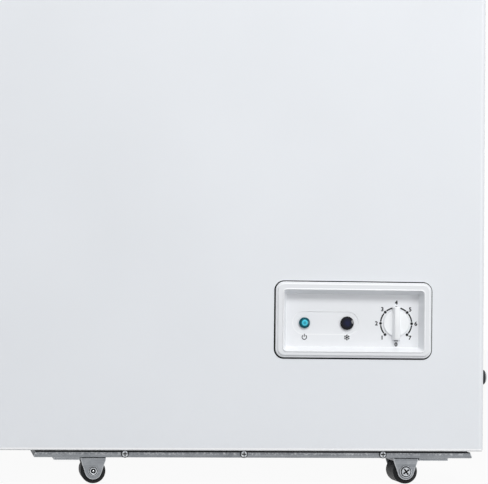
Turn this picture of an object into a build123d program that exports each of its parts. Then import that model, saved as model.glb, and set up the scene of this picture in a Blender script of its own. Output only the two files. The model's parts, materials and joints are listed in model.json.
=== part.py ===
from build123d import *
import math
import os

# Chest freezer: millimetres, +X to the right, +Y to the back, +Z up.
# The origin is on the floor, midway between the handle's front and the hinges' back.

# Cabinet
cabinet_width = 1118
cabinet_depth = 600
cabinet_top = 770
cabinet_bottom = 36.5
cabinet_corner = 6
bottom_bend = 1.5
sheet = 0.8
hem = 14
frame_height = 14
wall = 62
clear = 0.3

# Storage space
liner_skin = 1
liner_corner = 12
floor_level = 102
liner_flange = 12
step_wall = 52
step_insulation = 58
ledge_width = 10
ledge_depth = 8

# Machine bay at the right end
bay_width = 322
bay_top = 330

# Lid
lid_overhang = 7
lid_front_overhang = 12
lid_height = 66
lid_corner = 14
lid_edge = 9
lid_sheet = 1
lid_liner_skin = 1.5
lid_plug_depth = 2
lid_plug_gap = 15
lid_plug_corner = 24
gasket_height = 9
gasket_width = 20
gasket_inset = 10

# Lid handle
handle_length = 190
handle_depth = 26
handle_height = 40
handle_below_top = 10
handle_skin = 4
handle_roof = 6
handle_round = 8
handle_edge = 5.6

# Hinges
hinge_spread = 760
hinge_width = 72
hinge_plate = 2.5
hinge_offset = 11
hinge_barrel = 6.5
hinge_pin = 3
hinge_gap = 0.4
hinge_knuckle = 16
hinge_base_drop = 62
hinge_leaf_rise = 50
hinge_screw_drops = (20, 50)
leaf_screw_rises = (20, 42)
pin_head = 4
pin_head_height = 1.5
running = 0.05

# Screws
screw_radius = 2
screw_head = 3.6
screw_head_height = 1.8
screw_length = 9
screw_sides = 8

# Base trays
tray_sheet = 1.5
tray_setback = 7
tray_right_gap = 11
tray_length = 486
tray_slant = 2.8
tray_gap = 1.5
tray_bend = 1.2
left_tray_length = 120
stiffener = 3
tray_screw_spots = (112.2, 266.9, 397.4)

# Castors
wheel_radius = 13.5
wheel_width = 45
wheel_edge = 2
castor_plate = 3
castor_reach = 47.4
inner_castor_reach = 42.8
ear_sheet = 2
ear_top = 27
ear_bottom_radius = 9
ear_bend = 1.5
ear_notch = 1.8
ear_notch_depth = 4
wheel_side_gap = 0.6
wheel_top_gap = 1.5
axle_radius = 3
axle_head = 5.6
axle_head_height = 1.8
axle_head_taper = 25
ear_arc_start = 200
ear_arc = 140
castor_setback = 2
castor_screw_inset = 8
castor_from_right = 85.8
castor_spacing = 345.7
window_length = 22

# Control panel
panel_from_right = 147.5
panel_above_bottom = 144
panel_width = 174
panel_height = 83.2
panel_corner = 9.5
panel_gap = 1.1
panel_rim = 4
panel_edge = 1
panel_flange = 2.4
panel_step = 2.2
recess_width = 156.7
recess_height = 66.9
recess_corner = 3.5
recess_drop = 0.8
recess_depth = 11
recess_slope = 4.4
recess_floor_corner = 2
panel_wall = 2
tab_width = 14
tab_sheet = 2
tab_lap = 6
tab_spread = 56
tab_rise = 34
lamp_row_above_bottom = 140.5
power_lamp_from_right = 201.2
run_lamp_from_right = 153.7
power_lamp_radius = 6
run_lamp_radius = 7.4
lamp_dome = 2.4
lamp_rim = 1.2
lamp_lip = 1
lamp_barrel = 14
lamp_pad_length = 74
lamp_pad_height = 25
lamp_pad_depth = 0.5

# Thermostat
dial_from_right = 98.5
dial_above_bottom = 140.7
knob_radius = 14.4
knob_disc = 1.6
knob_ridge_length = 37
knob_ridge_width = 5.8
knob_height = 6.5
knob_socket = 4.8
knob_gap = 0.4
shaft_radius = 2.2
neck_radius = 5
thermostat_width = 44
thermostat_height = 38
thermostat_depth = 30

# Ventilation grille on the right side and cover at the back
grille_length = 190
grille_height = 92
grille_above_bottom = 60
grille_behind_middle = 70
grille_flange = 7
grille_skin = 2.5
slat_pitch = 9
slat_gap = 4.5
cover_margin = 14
cover_lap = 14
cover_screw_inset = 7
cover_slots = 12
cover_slot_length = 96
cover_slot_height = 4.5
cover_slot_pitch = 11
cover_slot_gap = 16
gland_bore = 4.5
gland_wall = 2.5
gland_flange = 3.5
gland_length = 12
gland_from_left = 36
gland_above_bottom = 34

# Drain
drain_from_front = 35
drain_above_bottom = 81.4
drain_inlet_from_front = 106
drain_radius = 6.5
drain_wall = 1.2
drain_bend = 40
drain_straight = 96
spout_reach = 6.5
spout_flange = 12
cap_wall = 1.6
cap_reach = 10
cap_round = 5
plug_flange = 9.5
plug_skin = 2
plug_length = 14

# Cooling circuit
coil_radius = 4
pipe_sides = 6
coil_loops = 4
coil_pitch = 72
coil_start_rise = 40
leg_spacing = 18
leg_hole_gap = 1
leg_drop = 45
outlet_from_middle = 100
condenser_runs = 6
condenser_pitch = 56
condenser_end_margin = 54
condenser_leg_gap = 32
condenser_bend = 26
pipe_bend = 16
suction_rise = 62
suction_bend = 10
discharge_from_centre = 40
discharge_rise = 104
discharge_loop = 42
crossing_drop = 42
drier_setback = 30
capillary_drop = 13
capillary_bend = 8
capillary_radius = 1.5
drier_radius = 9.5
drier_length = 90

# Compressor
compressor_length = 190
compressor_breadth = 146
compressor_height = 168
compressor_shoulder = 26
compressor_dome = 14
compressor_base_round = 22
weld_bead = 3
weld_height = 5
compressor_behind_middle = 75
foot_length = 250
foot_breadth = 168
foot_sheet = 3
foot_corner = 22
grommet_height = 14
grommet_radius = 13
bolt_radius = 3
bolt_head = 6
bolt_head_height = 4
relay_width = 62
relay_depth = 42
relay_height = 74
relay_overlap = 14
relay_rise = 14
relay_corner = 4

# Basket
basket_length = 300
basket_height = 215
basket_inset = 11
basket_wire = 1.6
wire_sides = 6
basket_rail = 2.5
basket_bend = 6
basket_cross_wires = 6
basket_long_wires = 6
basket_hoops = 3
basket_end_gap = 14

# Lines that many pieces share
right = cabinet_width / 2
left = -right
front_reach = lid_front_overhang + handle_depth
back_reach = hinge_offset + hinge_barrel
front = front_reach - (front_reach + cabinet_depth + back_reach) / 2
back = front + cabinet_depth
middle = (front + back) / 2
wrapper_top = cabinet_top - frame_height
bay_left = right - bay_width
space_right = right - wall
space_left = -space_right
space_front = front + wall
space_back = back - wall
step_level = bay_top + sheet + step_insulation
well_right = bay_left - step_wall
bottom_sheet = cabinet_bottom + sheet
lid_bottom = cabinet_top + gasket_height
lid_top = lid_bottom + lid_height
lid_front = front - lid_front_overhang
hinge_y = back + hinge_offset
hinge_z = cabinet_top + gasket_height / 2
axle_level = wheel_radius
tray_bottom = 2 * wheel_radius + wheel_top_gap
tray_front = front + tray_setback
tray_back = back - tray_setback
tray_right = right - tray_right_gap
castor_half = wheel_width / 2 + wheel_side_gap + ear_sheet
panel_x = right - panel_from_right
panel_z = cabinet_bottom + panel_above_bottom
recess_z = panel_z - recess_drop
dial_x = right - dial_from_right
dial_z = cabinet_bottom + dial_above_bottom
lamp_z = cabinet_bottom + lamp_row_above_bottom
recess_floor = front - panel_rim + recess_depth
drain_y = front + drain_from_front
drain_z = cabinet_bottom + drain_above_bottom
drain_inlet_y = front + drain_inlet_from_front
compressor_y = middle + compressor_behind_middle
tray_floor = tray_bottom + tray_sheet
tray_top = cabinet_bottom - tray_gap
foot_level = tray_floor + grommet_height
grille_y = middle + grille_behind_middle
grille_z = cabinet_bottom + grille_above_bottom + grille_height / 2


def level(z):
    return Plane.XY.offset(z)


def facing(y):
    """Plane across the freezer at a given depth, looking out of the front."""
    return Plane.XZ.offset(-y)


def sideways(x):
    """Plane along the freezer's depth, looking out of the right side."""
    return Plane.YZ.offset(x)


def outward(x, y, z, direction):
    """Plane at a fastener's place, with its normal along the given direction."""
    return Plane(origin=(x, y, z), z_dir=direction)


def drill(planes, radius, depth):
    """Cuts a hole behind each plane out of the piece that is being built."""
    with BuildSketch(*planes) as holes:
        RegularPolygon(radius, screw_sides)
    extrude(holes.sketch, amount=-depth, mode=Mode.SUBTRACT)


def screws(planes, length):
    """Pan-head screws, one on each plane."""
    with BuildPart() as made:
        with BuildSketch(*planes):
            RegularPolygon(screw_head, 2 * screw_sides)
        extrude(amount=screw_head_height)
        with BuildSketch(*planes):
            RegularPolygon(screw_radius, screw_sides)
        extrude(amount=-length)
    return made.part


def tube(points, radius, bends, sides):
    """A tube or wire of a few sides along straight runs joined by bends."""
    with BuildPart() as made:
        with BuildLine() as route:
            FilletPolyline(*points, radius=bends)
        with BuildSketch(Plane(origin=route.line @ 0, z_dir=route.line % 0)):
            RegularPolygon(radius, sides)
        sweep()
    return made.part


def save(part, name):
    part.label = name
    export_step(part, f"parts/{name}.step")


os.makedirs("parts", exist_ok=True)

screw_hole = screw_radius + clear / 2
BACKWARD = (0, 1, 0)
FORWARD = (0, -1, 0)
UP = (0, 0, 1)

# Places of the hinge, cover, handle, tray and castor screws
hinge_centres = (-hinge_spread / 2, hinge_spread / 2)
hinge_screw_planes = [
    outward(x + dx, back + hinge_plate, cabinet_top - drop, BACKWARD)
    for x in hinge_centres
    for dx in (-hinge_width / 3, hinge_width / 3)
    for drop in hinge_screw_drops
]
leaf_screw_planes = [
    outward(x + dx, back + hinge_plate, lid_bottom + rise, BACKWARD)
    for x in hinge_centres
    for dx in (-hinge_width / 3, hinge_width / 3)
    for rise in leaf_screw_rises
]
cover_left = bay_left + cover_margin
cover_right = right - cover_margin
cover_bottom = cabinet_bottom + cover_margin
cover_top = bay_top - cover_margin
cover_screw_planes = [
    outward(x, back + grille_skin, z, BACKWARD)
    for x in (cover_left + cover_screw_inset, cover_right - cover_screw_inset)
    for z in (cover_bottom + cover_screw_inset, cover_top - cover_screw_inset)
]
handle_top = lid_top - handle_below_top
handle_screw_planes = [
    outward(x, lid_front - handle_skin, handle_top - handle_height / 2, FORWARD)
    for x in (-handle_length / 3, handle_length / 3)
]
tray_screw_z = (tray_bottom + cabinet_bottom) / 2
tray_screw_planes = [
    outward(right - spot, tray_front, tray_screw_z, FORWARD) for spot in tray_screw_spots
]
tray_screw_planes += [
    outward(right - spot, tray_back, tray_screw_z, BACKWARD) for spot in tray_screw_spots
]

# Each castor: its name, the place of its axle, and how far its plate reaches past the axle along X
castor_front_y = tray_front + castor_setback + castor_half
castor_back_y = tray_back - castor_setback - castor_half
right_castor_x = right - castor_from_right
inner_castor_x = right_castor_x - castor_spacing
castors = []
for row, row_y in (("front", castor_front_y), ("rear", castor_back_y)):
    castors.append((f"{row}_left", -right_castor_x, row_y, -castor_reach))
    castors.append((f"{row}_inner", inner_castor_x, row_y, -inner_castor_reach))
    castors.append((f"{row}_right", right_castor_x, row_y, castor_reach))
castor_screw_planes = [
    outward(x + reach - math.copysign(castor_screw_inset, reach), y + dy, tray_floor, UP)
    for name, x, y, reach in castors
    for dy in (-castor_half / 2, castor_half / 2)
]

# Outer wrapper: one painted sheet folded round the front and both sides
wrapper_height = wrapper_top - cabinet_bottom
with BuildPart() as outer_wrapper:
    with BuildSketch(level(cabinet_bottom)):
        with Locations((0, middle + cabinet_corner)):
            RectangleRounded(cabinet_width, cabinet_depth + 2 * cabinet_corner, cabinet_corner)
    extrude(amount=wrapper_height)
    fillet(outer_wrapper.faces().sort_by(Axis.Z)[0].edges(), bottom_bend)
    with BuildSketch(level(bottom_sheet)):
        with Locations((0, middle + cabinet_corner)):
            RectangleRounded(
                cabinet_width - 2 * sheet,
                cabinet_depth + 2 * cabinet_corner - 2 * sheet,
                cabinet_corner - sheet,
            )
    extrude(amount=wrapper_height - 2 * sheet, mode=Mode.SUBTRACT)
    with BuildSketch(level(cabinet_bottom)):
        with Locations((0, middle)):
            Rectangle(cabinet_width - 2 * hem, cabinet_depth - 2 * hem)
    extrude(amount=wrapper_height, mode=Mode.SUBTRACT)
    split(bisect_by=facing(back - sheet), keep=Keep.TOP)
    with BuildSketch(facing(front)):
        with Locations((panel_x, panel_z)):
            RectangleRounded(
                panel_width + 2 * panel_gap, panel_height + 2 * panel_gap, panel_corner + panel_gap
            )
    extrude(amount=-sheet, mode=Mode.SUBTRACT)
    with BuildSketch(sideways(right)):
        with Locations((grille_y, grille_z)):
            Rectangle(grille_length - 2 * grille_flange, grille_height - 2 * grille_flange)
        with Locations((drain_y, drain_z)):
            Circle(drain_radius + drain_wall + clear)
    extrude(amount=-sheet, mode=Mode.SUBTRACT)
save(outer_wrapper.part, "outer_wrapper")

# Back panel, open behind the machine bay
with BuildPart() as back_panel:
    with BuildSketch(facing(back)):
        with Locations((0, (cabinet_bottom + wrapper_top) / 2)):
            Rectangle(cabinet_width, wrapper_height)
        with Locations(((cover_left + cover_right) / 2, (cover_bottom + cover_top) / 2)):
            Rectangle(
                cover_right - cover_left - 2 * cover_lap,
                cover_top - cover_bottom - 2 * cover_lap,
                mode=Mode.SUBTRACT,
            )
    extrude(amount=sheet)
    drill(hinge_screw_planes + cover_screw_planes, screw_hole, screw_length)
save(back_panel.part, "back_panel")

# Bottom panel: one sheet bent up and over the machine bay
inner_right = right - sheet
inner_back = back - sheet
inner_front = front + sheet
leg_hole = coil_radius + leg_hole_gap
suction_leg = (space_right + liner_skin + clear + coil_radius, compressor_y)
outlet_leg = (suction_leg[0] + leg_spacing, middle - outlet_from_middle)
condenser_y = inner_front + clear + coil_radius
condenser_in_x = right - condenser_end_margin
condenser_out_x = condenser_in_x + condenser_leg_gap
with BuildPart() as bottom_panel:
    with BuildSketch(facing(inner_front)):
        with BuildLine():
            Polyline(
                (left + sheet, bottom_sheet),
                (bay_left + sheet, bottom_sheet),
                (bay_left + sheet, bay_top),
                (inner_right, bay_top),
                (inner_right, bay_top + sheet),
                (bay_left, bay_top + sheet),
                (bay_left, bottom_sheet + sheet),
                (left + sheet, bottom_sheet + sheet),
                close=True,
            )
        make_face()
    extrude(amount=-(inner_back - inner_front))
    with BuildSketch(level(bay_top)):
        with Locations(suction_leg, outlet_leg):
            Circle(leg_hole)
        with Locations(((condenser_in_x + condenser_out_x) / 2, condenser_y)):
            Rectangle(condenser_out_x - condenser_in_x + 4 * coil_radius, 4 * coil_radius)
    extrude(amount=sheet, mode=Mode.SUBTRACT)
    with BuildSketch(sideways(bay_left)):
        with Locations((drain_inlet_y, drain_z)):
            Circle(drain_radius + drain_wall + clear)
    extrude(amount=sheet, mode=Mode.SUBTRACT)
    with BuildSketch(level(bottom_sheet)):
        with Locations((left, front), (right, front)):
            Rectangle(2 * cabinet_corner, 2 * cabinet_corner)
    extrude(amount=bay_top, mode=Mode.SUBTRACT)
save(bottom_panel.part, "bottom_panel")


def storage_space(grow):
    """The stepped space inside the cabinet, grown on every side."""
    with BuildPart() as space:
        with BuildSketch(level(floor_level - grow)):
            with Locations((0, middle)):
                RectangleRounded(
                    space_right - space_left + 2 * grow,
                    space_back - space_front + 2 * grow,
                    liner_corner + grow,
                )
        extrude(amount=wrapper_top - floor_level + grow)
        with BuildSketch(sideways(well_right + grow)):
            with Locations((middle, (floor_level + step_level) / 2 - grow)):
                Rectangle(cabinet_depth, step_level - floor_level)
        extrude(amount=cabinet_width, mode=Mode.SUBTRACT)
    return space.part


# Inner liner: the stepped tub that its panels make together, with a flange under the opening's frame
with BuildPart() as liner_tub:
    add(storage_space(liner_skin))
    with BuildSketch(level(wrapper_top - liner_skin)):
        with Locations((0, middle)):
            RectangleRounded(
                space_right - space_left + 2 * liner_flange,
                space_back - space_front + 2 * liner_flange,
                liner_corner + liner_flange,
            )
    extrude(amount=liner_skin)
    add(storage_space(0), mode=Mode.SUBTRACT)
    with BuildSketch(sideways(well_right)):
        with Locations((drain_inlet_y, drain_z)):
            Circle(drain_radius)
    extrude(amount=liner_skin, mode=Mode.SUBTRACT)


def liner_panel(*regions):
    """The pieces of the liner in some boxes, each given by its two ends along X, Y and Z."""
    with BuildPart() as panel:
        for ends in regions:
            with Locations(tuple((low + high) / 2 for low, high in ends)):
                Box(*(high - low for low, high in ends))
        add(liner_tub.part, mode=Mode.INTERSECT)
    return panel.part


# The liner's embossed sheets: floor, riser, step and four walls, with coved strips in the corners
flat_left, flat_right = space_left + liner_corner, space_right - liner_corner
flat_front, flat_back = space_front + liner_corner, space_back - liner_corner
under_floor = floor_level - liner_skin
under_step = step_level - liner_skin
across, along = (space_front, space_back), (flat_left, flat_right)
to_top = (under_floor, wrapper_top)
save(liner_panel(((space_left, well_right), across, (under_floor, floor_level))), "liner_floor")
save(liner_panel(((well_right, well_right + liner_skin), across, (under_floor, under_step))), "liner_riser")
save(liner_panel(((well_right, space_right), across, (under_step, step_level))), "liner_step")
save(liner_panel((along, (front, space_front), to_top)), "liner_front")
save(liner_panel((along, (space_back, back), to_top)), "liner_back")
save(liner_panel(((left, space_left), (flat_front, flat_back), to_top)), "liner_left")
save(liner_panel(((space_right, right), (flat_front, flat_back), to_top)), "liner_right")
liner_corners = liner_panel(
    *(
        (x_ends, y_ends, (bottom, wrapper_top))
        for x_ends, bottom in (((left, flat_left), floor_level), ((flat_right, right), step_level))
        for y_ends in ((front, flat_front), (flat_back, back))
    )
)
save(liner_corners, "liner_corners")

# Foam between the sheets and the liner, with room for both coils
coil_low = step_level + coil_start_rise
coil_high = coil_low + coil_pitch * coil_loops + 2 * coil_radius
coil_room = liner_skin + 2 * coil_radius + 3 * clear
condenser_low = step_level + coil_start_rise
condenser_high = condenser_low + condenser_pitch * (condenser_runs - 1)
foam_bottom = bottom_sheet + sheet
foam_top = wrapper_top - liner_skin
with BuildPart() as foam_insulation:
    with BuildSketch(level(foam_bottom)):
        with Locations((0, middle)):
            Rectangle(cabinet_width - 2 * sheet - 2 * clear, cabinet_depth - 2 * sheet - 2 * clear)
    extrude(amount=foam_top - foam_bottom)
    chamfer(foam_insulation.edges().filter_by(Axis.Z).group_by(Axis.Y)[0], cabinet_corner)
    with BuildSketch(facing(front)):
        with Locations(((bay_left + right) / 2, (bay_top + sheet) / 2)):
            Rectangle(right - bay_left, bay_top + sheet)
    extrude(amount=-cabinet_depth, mode=Mode.SUBTRACT)
    add(storage_space(liner_skin), mode=Mode.SUBTRACT)
    with BuildSketch(level(coil_low - 3 * coil_radius)):
        with Locations(((leg_spacing + coil_radius) / 2, middle)):
            RectangleRounded(
                space_right - space_left + 2 * coil_room + leg_spacing + coil_radius,
                space_back - space_front + 2 * coil_room,
                liner_corner,
            )
    extrude(amount=coil_high - coil_low + 6 * coil_radius, mode=Mode.SUBTRACT)
    with BuildSketch(facing(front)):
        with Locations((0, (condenser_low + condenser_high) / 2)):
            Rectangle(2 * (right - cabinet_corner), condenser_high - condenser_low + 14 * coil_radius)
        with Locations(((condenser_in_x + condenser_out_x) / 2, (bay_top + condenser_low) / 2)):
            Rectangle(condenser_out_x - condenser_in_x + 4 * coil_radius, condenser_low - bay_top)
    extrude(amount=-(sheet + 2 * coil_radius + 3 * clear), mode=Mode.SUBTRACT)
    with BuildSketch(level(bay_top)):
        with Locations(suction_leg, outlet_leg):
            Circle(leg_hole)
    extrude(amount=coil_low - bay_top, mode=Mode.SUBTRACT)
    with BuildSketch(sideways(well_right)):
        with Locations((drain_inlet_y, drain_z)):
            Circle(drain_radius + drain_wall + clear)
    extrude(amount=step_wall, mode=Mode.SUBTRACT)
    drill(hinge_screw_planes, screw_hole, screw_length + clear)
save(foam_insulation.part, "foam_insulation")

# Plastic frame round the opening, with ledges for the basket along the front and back
with BuildPart() as top_frame:
    with BuildSketch(level(wrapper_top)):
        with Locations((0, middle)):
            RectangleRounded(cabinet_width, cabinet_depth, cabinet_corner)
            RectangleRounded(
                space_right - space_left, space_back - space_front, liner_corner, mode=Mode.SUBTRACT
            )
    extrude(amount=frame_height)
    fillet(top_frame.faces().sort_by(Axis.Z)[-1].outer_wire().edges(), bottom_bend)
    with BuildSketch(level(cabinet_top - ledge_depth)):
        with Locations((0, middle)):
            RectangleRounded(
                space_right - space_left, space_back - space_front + 2 * ledge_width, ledge_width / 2
            )
    extrude(amount=ledge_depth, mode=Mode.SUBTRACT)
save(top_frame.part, "top_frame")

# Evaporator: one tube wound round the liner, with both ends in the machine bay
coil_x = suction_leg[0]
coil_y = (space_back - space_front) / 2 + liner_skin + clear + coil_radius
coil_bend = liner_corner + liner_skin + clear + coil_radius
leg_end = bay_top - leg_drop
corners = ((coil_x, coil_y), (-coil_x, coil_y), (-coil_x, -coil_y), (coil_x, -coil_y))
coil_points = [(*suction_leg, leg_end), (*suction_leg, coil_low)]
coil_bends = [pipe_bend]
for turn in range(4 * coil_loops):
    x, y = corners[turn % 4]
    coil_points.append((x, middle + y, coil_low + coil_pitch * (turn + 1) / 4))
    coil_bends.append(coil_bend)
coil_points.append((coil_x, outlet_leg[1], coil_points[-1][2]))
coil_points.append((outlet_leg[0], outlet_leg[1], coil_points[-1][2]))
coil_points.append((*outlet_leg, leg_end))
coil_bends += [2 * coil_radius, 2 * coil_radius]
evaporator_coil = tube(coil_points, coil_radius, coil_bends, pipe_sides)
save(evaporator_coil, "evaporator_coil")

# Condenser: one tube in long runs against the inside of the front sheet
run_end = right - condenser_end_margin - condenser_bend
condenser_points = [
    (condenser_in_x, condenser_y, leg_end),
    (condenser_in_x, condenser_y, condenser_low),
]
run_side = -1
for run in range(condenser_runs):
    run_z = condenser_low + condenser_pitch * run
    if run > 0:
        condenser_points.append((-run_side * run_end, condenser_y, run_z))
    last_run = run == condenser_runs - 1
    run_x = condenser_out_x if last_run else run_side * run_end
    condenser_points.append((run_x, condenser_y, run_z))
    run_side = -run_side
condenser_points.append((condenser_out_x, condenser_y, leg_end))
condenser_coil = tube(condenser_points, coil_radius, condenser_bend, pipe_sides)
save(condenser_coil, "condenser_coil")

# Where the compressor's feet are bolted to the base tray: with its relay, the compressor stands midway
# between the bay's inner wall and the suction pipe
relay_reach = relay_depth - relay_overlap
compressor_x = (bay_left + sheet + suction_leg[0] - coil_radius + relay_reach - weld_bead) / 2
foot_dx = foot_length / 2 - foot_corner
foot_dy = foot_breadth / 2 - foot_corner
foot_spots = [
    (compressor_x + dx, compressor_y + dy)
    for dx in (-foot_dx, foot_dx)
    for dy in (-foot_dy, foot_dy)
]
foot_bolt_planes = [outward(x, y, foot_level + foot_sheet + clear, UP) for x, y in foot_spots]


def base_tray(x_low, x_high):
    """A pressed tray under the cabinet, a little wider at its bottom than at its top."""
    depth = tray_back - tray_front
    with BuildPart() as tray:
        for inset in (0, tray_sheet):
            with BuildSketch(facing(tray_front + inset)):
                with BuildLine():
                    Polyline(
                        (x_low + inset, tray_bottom + inset),
                        (x_high - inset, tray_bottom + inset),
                        (x_high - inset - tray_slant, tray_top),
                        (x_low + inset + tray_slant, tray_top),
                        close=True,
                    )
                make_face()
            extrude(amount=2 * inset - depth, mode=Mode.SUBTRACT if inset else Mode.ADD)
        fillet(tray.faces().sort_by(Axis.Z)[0].edges(), tray_bend)
        drill(tray_screw_planes + castor_screw_planes, screw_hole, screw_length)
        drill(foot_bolt_planes, bolt_radius + clear / 2, foot_level)
    return tray.part


tray_ends = (tray_right - tray_length, tray_right)
left_tray_ends = (-tray_right, -tray_right + left_tray_length)
save(base_tray(*tray_ends), "base_tray")
save(base_tray(*left_tray_ends), "left_base_tray")

# Flat bars inside the base trays that carry the cabinet and take the tray screws
bar_inset = 2 * tray_sheet + tray_slant
with BuildPart() as tray_stiffeners:
    for y in (tray_front + tray_sheet, tray_back - tray_sheet - stiffener):
        with BuildSketch(facing(y)):
            for x_low, x_high in (tray_ends, left_tray_ends):
                with Locations(((x_low + x_high) / 2, (tray_floor + cabinet_bottom) / 2)):
                    Rectangle(x_high - x_low - 2 * bar_inset, cabinet_bottom - tray_floor)
        extrude(amount=-stiffener)
    drill(tray_screw_planes, screw_hole, screw_length)
save(tray_stiffeners.part, "tray_stiffeners")

# Castors: a stamped bracket with two ears, a wheel, and a riveted axle
with BuildPart() as castor_axles:
    for name, x, y, reach in castors:
        with BuildSketch(facing(y - castor_half)):
            with Locations((x, axle_level)):
                Circle(axle_radius)
        extrude(amount=-2 * castor_half)
        for side in (-1, 1):
            with BuildSketch(facing(y + side * castor_half)):
                with Locations((x, axle_level)):
                    Circle(axle_head)
            extrude(amount=-side * axle_head_height, taper=axle_head_taper)
save(castor_axles.part, "castor_axles")

with BuildPart() as castor_brackets:
    for name, x, y, reach in castors:
        way = math.copysign(1, reach)
        plate_end = x - way * ear_top / 2
        with BuildSketch(level(tray_bottom - castor_plate)):
            with Locations(((plate_end + x + reach) / 2, y)):
                Rectangle(abs(x + reach - plate_end), 2 * castor_half)
            with Locations((x, y)):
                Rectangle(window_length, 2 * (castor_half - ear_sheet), mode=Mode.SUBTRACT)
            with Locations((x + way * (ear_top + ear_notch) / 2, y)):
                with GridLocations(0, 2 * castor_half, 1, 2):
                    Rectangle(ear_notch, 2 * ear_notch_depth, mode=Mode.SUBTRACT)
        extrude(amount=castor_plate)
        for side in (-1, 1):
            with BuildSketch(facing(y + side * (castor_half - ear_sheet))):
                with BuildLine():
                    arc = CenterArc((x, axle_level), ear_bottom_radius, ear_arc_start, ear_arc)
                    Polyline(
                        arc @ 1,
                        (x + ear_top / 2, tray_bottom - castor_plate),
                        (x - ear_top / 2, tray_bottom - castor_plate),
                        arc @ 0,
                    )
                make_face()
                with Locations((x, axle_level)):
                    Circle(axle_radius + running, mode=Mode.SUBTRACT)
            extrude(amount=-side * ear_sheet)
    top_edges = castor_brackets.edges().filter_by(Axis.X).group_by(Axis.Z)[-1]
    fillet(top_edges.filter_by(lambda edge: math.isclose(edge.length, ear_top)), ear_bend)
    drill(castor_screw_planes, screw_hole, screw_length)
save(castor_brackets.part, "castor_brackets")

for name, x, y, reach in castors:
    with BuildPart() as wheel:
        with BuildSketch(facing(y + wheel_width / 2)):
            with Locations((x, axle_level)):
                Circle(wheel_radius)
        extrude(amount=wheel_width)
        chamfer(wheel.edges().filter_by(GeomType.CIRCLE), wheel_edge)
        with BuildSketch(facing(y + wheel_width / 2)):
            with Locations((x, axle_level)):
                Circle(axle_radius + running)
        extrude(amount=wheel_width, mode=Mode.SUBTRACT)
    save(wheel.part, f"castor_wheel_{name}")

with BuildPart() as base_screws:
    add(screws(tray_screw_planes, screw_length))
    add(screws(castor_screw_planes, tray_sheet + castor_plate))
save(base_screws.part, "base_screws")

# Control panel bezel: a raised rim in a gap of the sheet, a recess with sloping walls, and tabs behind
with BuildPart() as control_bezel:
    for inset, reach in ((0, panel_flange), (panel_step, panel_rim)):
        with BuildSketch(facing(inner_front)):
            with Locations((panel_x, panel_z)):
                RectangleRounded(panel_width - 2 * inset, panel_height - 2 * inset, panel_corner - inset)
        extrude(amount=sheet + reach)
        rim_edges = control_bezel.faces().sort_by(Axis.Y)[0].outer_wire().edges()
        fillet(rim_edges, panel_edge)
    with BuildSketch(facing(inner_front)):
        with Locations((panel_x, panel_z)):
            with GridLocations(tab_spread, 0, 3, 1):
                Rectangle(tab_width, panel_height + 2 * (panel_gap + tab_lap))
            with GridLocations(0, tab_rise, 1, 2):
                Rectangle(panel_width + 2 * (panel_gap + tab_lap), tab_width)
    extrude(amount=-tab_sheet)
    with BuildSketch(facing(inner_front)):
        with Locations((panel_x, recess_z)):
            RectangleRounded(
                recess_width + 2 * panel_wall, recess_height + 2 * panel_wall, recess_corner + panel_wall
            )
    extrude(amount=-(recess_floor + panel_wall - inner_front))
    with BuildSketch(facing(front - panel_rim)):
        with Locations((panel_x, recess_z)):
            RectangleRounded(recess_width, recess_height, recess_corner)
    with BuildSketch(facing(recess_floor)):
        with Locations((panel_x, recess_z)):
            RectangleRounded(
                recess_width - 2 * recess_slope, recess_height - 2 * recess_slope, recess_floor_corner
            )
    loft(ruled=True, mode=Mode.SUBTRACT)
    with BuildSketch(facing(recess_floor)):
        with Locations(((2 * right - power_lamp_from_right - run_lamp_from_right) / 2, lamp_z)):
            SlotOverall(lamp_pad_length, lamp_pad_height)
    extrude(amount=-lamp_pad_depth, mode=Mode.SUBTRACT)
    with BuildSketch(facing(recess_floor)):
        with Locations((right - power_lamp_from_right, lamp_z)):
            Circle(power_lamp_radius - lamp_lip)
        with Locations((right - run_lamp_from_right, lamp_z)):
            Circle(run_lamp_radius - lamp_lip)
        with Locations((dial_x, dial_z)):
            Circle(neck_radius + clear / 2)
    extrude(amount=-panel_wall, mode=Mode.SUBTRACT)
save(control_bezel.part, "control_bezel")

# Indicator lamps: a domed lens with its barrel through the panel
lamp_seat = recess_floor + lamp_pad_depth
for name, lamp_from_right, lamp_radius in (
    ("power_lamp", power_lamp_from_right, power_lamp_radius),
    ("run_lamp", run_lamp_from_right, run_lamp_radius),
):
    with BuildPart() as lamp:
        with BuildSketch(facing(lamp_seat)):
            with Locations((right - lamp_from_right, lamp_z)):
                Circle(lamp_radius)
        extrude(amount=lamp_rim + lamp_dome)
        chamfer(lamp.faces().sort_by(Axis.Y)[0].edges(), lamp_dome)
        with BuildSketch(facing(lamp_seat)):
            with Locations((right - lamp_from_right, lamp_z)):
                Circle(lamp_radius - lamp_lip - clear / 2)
        extrude(amount=-lamp_barrel)
    save(lamp.part, name)

# Thermostat: body behind the panel, shaft through its neck, and the knob
thermostat_front = recess_floor + panel_wall
with BuildPart() as thermostat_body:
    with BuildSketch(facing(thermostat_front)):
        with Locations((dial_x, dial_z)):
            Rectangle(thermostat_width, thermostat_height)
    extrude(amount=-thermostat_depth)
    with BuildSketch(facing(thermostat_front)):
        with Locations((dial_x, dial_z)):
            Circle(neck_radius)
    extrude(amount=thermostat_front - recess_floor)
    with BuildSketch(facing(recess_floor)):
        with Locations((dial_x, dial_z)):
            Circle(shaft_radius + running)
    extrude(amount=-thermostat_depth / 2, mode=Mode.SUBTRACT)
save(thermostat_body.part, "thermostat_body")

knob_back = recess_floor - knob_gap
shaft_front = knob_back - knob_socket
shaft_back = recess_floor + thermostat_depth / 2 - clear
with BuildPart() as thermostat_shaft:
    with BuildSketch(facing(shaft_back)):
        with Locations((dial_x, dial_z)):
            Circle(shaft_radius)
    extrude(amount=shaft_back - shaft_front)
save(thermostat_shaft.part, "thermostat_shaft")

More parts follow.
